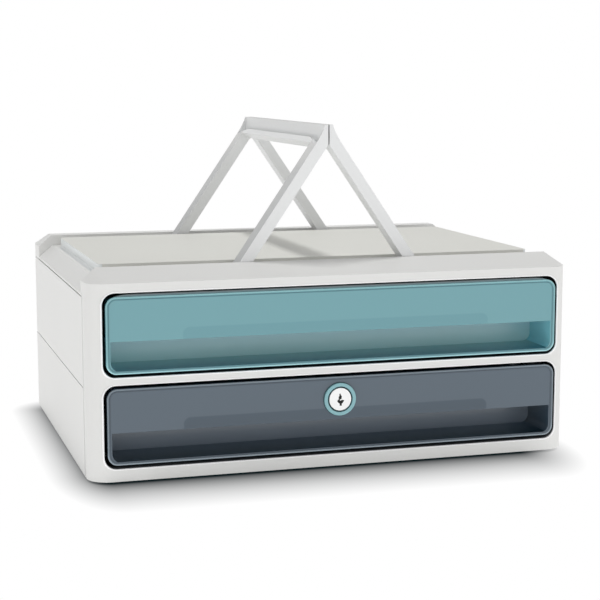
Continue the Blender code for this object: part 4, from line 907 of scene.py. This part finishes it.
def foot_tree():
    """Ringed rubber discs on the corners of a pattern in the XY plane."""
    tree, sizes = growth_tree("ringed_feet",
                              (("Across", 0.3), ("Apart", 0.2), ("Radius", 0.008), ("Height", 0.0017)))
    corners = add(tree, "GeometryNodeMeshGrid", {"Size X": sizes["Across"], "Size Y": sizes["Apart"],
                                                 "Vertices X": 2, "Vertices Y": 2})
    placed = add(tree, "GeometryNodeTransform", {"Geometry": corners.outputs["Mesh"],
                                                 "Translation": sizes["Middle"]})
    disc = add(tree, "GeometryNodeMeshCylinder", {"Vertices": 40, "Radius": sizes["Radius"],
                                                  "Depth": sizes["Height"]})
    whole = add(tree, "GeometryNodeJoinGeometry")
    tree.links.new(disc.outputs["Mesh"], whole.inputs[0])
    bottom = add(tree, "ShaderNodeMath", {0: sizes["Height"], 1: -0.5}, operation="MULTIPLY")
    ring_height = add(tree, "ShaderNodeCombineXYZ", {2: bottom.outputs[0]})
    section = add(tree, "GeometryNodeCurvePrimitiveCircle", {"Resolution": 8, "Radius": GRIP_RING})
    for share in (0.9, 0.65, 0.4):
        radius = add(tree, "ShaderNodeMath", {0: sizes["Radius"], 1: share}, operation="MULTIPLY")
        circle = add(tree, "GeometryNodeCurvePrimitiveCircle", {"Resolution": 32, "Radius": radius.outputs[0]})
        ring = add(tree, "GeometryNodeCurveToMesh", {"Curve": circle.outputs["Curve"],
                                                     "Profile Curve": section.outputs["Curve"]})
        lowered = add(tree, "GeometryNodeTransform", {"Geometry": ring.outputs["Mesh"],
                                                      "Translation": ring_height.outputs[0]})
        tree.links.new(lowered.outputs["Geometry"], whole.inputs[0])
    feet = add(tree, "GeometryNodeInstanceOnPoints", {"Points": placed.outputs["Geometry"],
                                                      "Instance": whole.outputs["Geometry"]})
    real = add(tree, "GeometryNodeRealizeInstances", {"Geometry": feet.outputs["Instances"]})
    painted = add(tree, "GeometryNodeSetMaterial", {"Geometry": real.outputs["Geometry"],
                                                    "Material": sizes["Paint"]})
    add(tree, "NodeGroupOutput", {"Geometry": painted.outputs["Geometry"]})
    return tree


rubber = polystyrene("black_rubber", RUBBER_BLACK, 0.85, drift=0.05)
foot_low, foot_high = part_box("foot_front_right")
far_low, far_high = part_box("foot_back_right")
feet = grown("rubber_feet", foot_tree(), {
    "Across": foot_low.x + foot_high.x,
    "Apart": far_low.y - foot_low.y,
    "Radius": (foot_high.x - foot_low.x) / 2,
    "Height": FOOT_DISC,
    "Middle": (0.0, (foot_low.y + far_high.y) / 2, FOOT_LIFT + FOOT_DISC / 2),
    "Paint": rubber,
})
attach(feet, "casing")
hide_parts("foot_front_left", "foot_front_right", "foot_back_left", "foot_back_right")

# The studio is a bright white sweep in a dim surround, so that upright faces come out lighter than
# flat ones. A wide soft box stands low in front, and a small one overhead lays the grips' shadow
# on the deck. The sweep is a glowing sheet, brighter to bounced light than to the camera, and its
# shadow is painted: it is darkened by how much the unit covers it, read by ambient occlusion, and
# once more by a painted falloff close round the unit's foot, between an inner edge on each side and
# a width outward from it.
SHADOW_REACH = 0.34
SHADOW_LEAN = (0.0651, 0.3626, 0.9297)
SHADOW_END = 0.486
SHADOW_CURVE = 0.5
BOUNCE_END = 0.636
BOUNCE_CURVE = 1.45
SHADOW_GREY = "#06171b"
FALLOFF_EDGES = {"left": -0.1672, "right": 0.1463, "front": -0.1080, "back": 0.1200}
FALLOFF_WIDTHS = {"left": 0.0438, "right": 0.0508, "front": 0.1070, "back": 0.0450}
FALLOFF_WAYS = {"left": ("X", -1), "right": ("X", 1), "front": ("Y", -1), "back": ("Y", 1)}
FALLOFF_CURVE = 0.0822
FALLOFF_DEPTH = 8.7185
FLOOR_GLOW = 1.43
SURROUND_GLOW = 0.35
OVERHEAD_POWER = 7.4
FRONT_POWER = 0.36
SWEEP_HALF = 6.0


def directly_seen(tree):
    """1 for what the camera sees itself, in a gloss or through something clear, and 0 for bounced light."""
    rays = add(tree, "ShaderNodeLightPath").outputs
    glossy = add(tree, "ShaderNodeMath", {0: rays["Is Camera Ray"], 1: rays["Is Glossy Ray"]},
                 operation="MAXIMUM").outputs[0]
    return add(tree, "ShaderNodeMath", {0: glossy, 1: rays["Is Transmission Ray"]},
               operation="MAXIMUM").outputs[0]


floor_mesh = bpy.data.meshes.new("studio_floor")
floor_mesh.from_pydata([(x * SWEEP_HALF, y * SWEEP_HALF, 0) for x, y in ((-1, -1), (1, -1), (1, 1), (-1, 1))],
                       [], [(0, 1, 2, 3)])
floor = linked("studio_floor", floor_mesh)
floor_paint = bpy.data.materials.new("white_sweep_painted_shadow")
floor_paint.use_nodes = True
paper = floor_paint.node_tree
paper.nodes.clear()
lean = add(paper, "ShaderNodeCombineXYZ", {"X": SHADOW_LEAN[0], "Y": SHADOW_LEAN[1], "Z": SHADOW_LEAN[2]})
# The sheet's shading is painted shadow: an ambient-occlusion reading darkens its glow.
openness = add(paper, "ShaderNodeAmbientOcclusion", {"Distance": SHADOW_REACH, "Normal": lean.outputs[0]},
               samples=32)
seen = directly_seen(paper)
end = add(paper, "ShaderNodeMapRange", {"Value": seen, "To Min": BOUNCE_END, "To Max": SHADOW_END})
ramp = add(paper, "ShaderNodeMapRange", {"Value": openness.outputs["AO"], "From Max": end.outputs["Result"]})
bend = add(paper, "ShaderNodeMapRange", {"Value": seen, "To Min": BOUNCE_CURVE,
                                         "To Max": SHADOW_CURVE})
curve = add(paper, "ShaderNodeMath", {0: ramp.outputs["Result"], 1: bend.outputs["Result"]}, operation="POWER")
place = add(paper, "ShaderNodeTexCoord").outputs["Object"]
spot = add(paper, "ShaderNodeSeparateXYZ", {"Vector": place}).outputs
past = {}
# The falloff drawn round the foot's place is painted shadow.
for word, edge in FALLOFF_EDGES.items():
    axis, outward = FALLOFF_WAYS[word]
    past[word] = add(paper, "ShaderNodeMapRange", {"Value": spot[axis], "From Min": edge,
                                                   "From Max": edge + outward * FALLOFF_WIDTHS[word]}).outputs[0]
across = add(paper, "ShaderNodeMath", {0: past["left"], 1: past["right"]}, operation="ADD")
along = add(paper, "ShaderNodeMath", {0: past["front"], 1: past["back"]}, operation="ADD")
out = add(paper, "ShaderNodeCombineXYZ", {"X": across.outputs[0], "Y": along.outputs[0]})
away = add(paper, "ShaderNodeVectorMath", {0: out.outputs[0]}, operation="LENGTH").outputs["Value"]
near = add(paper, "ShaderNodeMath", {0: away, 1: 1.0}, operation="MINIMUM")
rise = add(paper, "ShaderNodeMath", {0: near.outputs[0], 1: FALLOFF_CURVE}, operation="POWER")
deep = add(paper, "ShaderNodeMath", {0: rise.outputs[0], 1: FALLOFF_DEPTH + 1, 2: -FALLOFF_DEPTH},
           operation="MULTIPLY_ADD")
foot = add(paper, "ShaderNodeMath", {0: deep.outputs[0], 1: 0.0}, operation="MAXIMUM")
unseen = add(paper, "ShaderNodeMath", {0: 1.0, 1: seen}, operation="SUBTRACT")
falloff = add(paper, "ShaderNodeMath", {0: foot.outputs[0], 1: unseen.outputs[0]}, operation="MAXIMUM")
clear = add(paper, "ShaderNodeMapRange", {"Value": past["right"], "To Min": curve.outputs[0], "To Max": 1.0})
shade = add(paper, "ShaderNodeMath", {0: clear.outputs["Result"], 1: falloff.outputs[0]}, operation="MULTIPLY")
sheet = add(paper, "ShaderNodeMix", {0: shade.outputs[0], 6: srgb(SHADOW_GREY), 7: (1.0, 1.0, 1.0, 1.0)},
            data_type="RGBA")
glow = add(paper, "ShaderNodeMapRange", {"Value": seen, "To Min": FLOOR_GLOW, "To Max": 1.0})
shown = add(paper, "ShaderNodeEmission", {"Color": sheet.outputs[2], "Strength": glow.outputs["Result"]})
add(paper, "ShaderNodeOutputMaterial", {"Surface": shown.outputs[0]})
floor.data.materials.append(floor_paint)
floor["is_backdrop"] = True

world = bpy.data.worlds.new("pale_surround")
bpy.context.scene.world = world
world.use_nodes = True
sky = world.node_tree
sky.nodes.clear()
seen = directly_seen(sky)
glow = add(sky, "ShaderNodeMapRange", {"Value": seen, "To Min": SURROUND_GLOW, "To Max": 1.0})
surround = add(sky, "ShaderNodeBackground", {"Color": (1.0, 1.0, 1.0, 1.0), "Strength": glow.outputs["Result"]})
add(sky, "ShaderNodeOutputWorld", {"Surface": surround.outputs[0]})


def soft_box(name, size, power, place, target):
    """A white soft box that looks at a place and doesn't show in the object's gloss."""
    light = bpy.data.lights.new(name, "AREA")
    light.shape = "RECTANGLE"
    light.size, light.size_y = size
    light.energy = power
    lamp = bpy.data.objects.new(name, light)
    lamp.location = place
    lamp.rotation_euler = (Vector(target) - Vector(place)).to_track_quat("-Z", "Y").to_euler()
    lamp.visible_glossy = False
    bpy.context.scene.collection.objects.link(lamp)


soft_box("overhead_soft_box", (0.16, 0.16), OVERHEAD_POWER, (0.05, 0.0, 1.5), (0.05, 0.0, 0.0))
soft_box("front_soft_box", (1.0, 0.3), FRONT_POWER, (0.0, -0.65, 0.25), (0.0, 0.0, 0.1))

low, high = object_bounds()
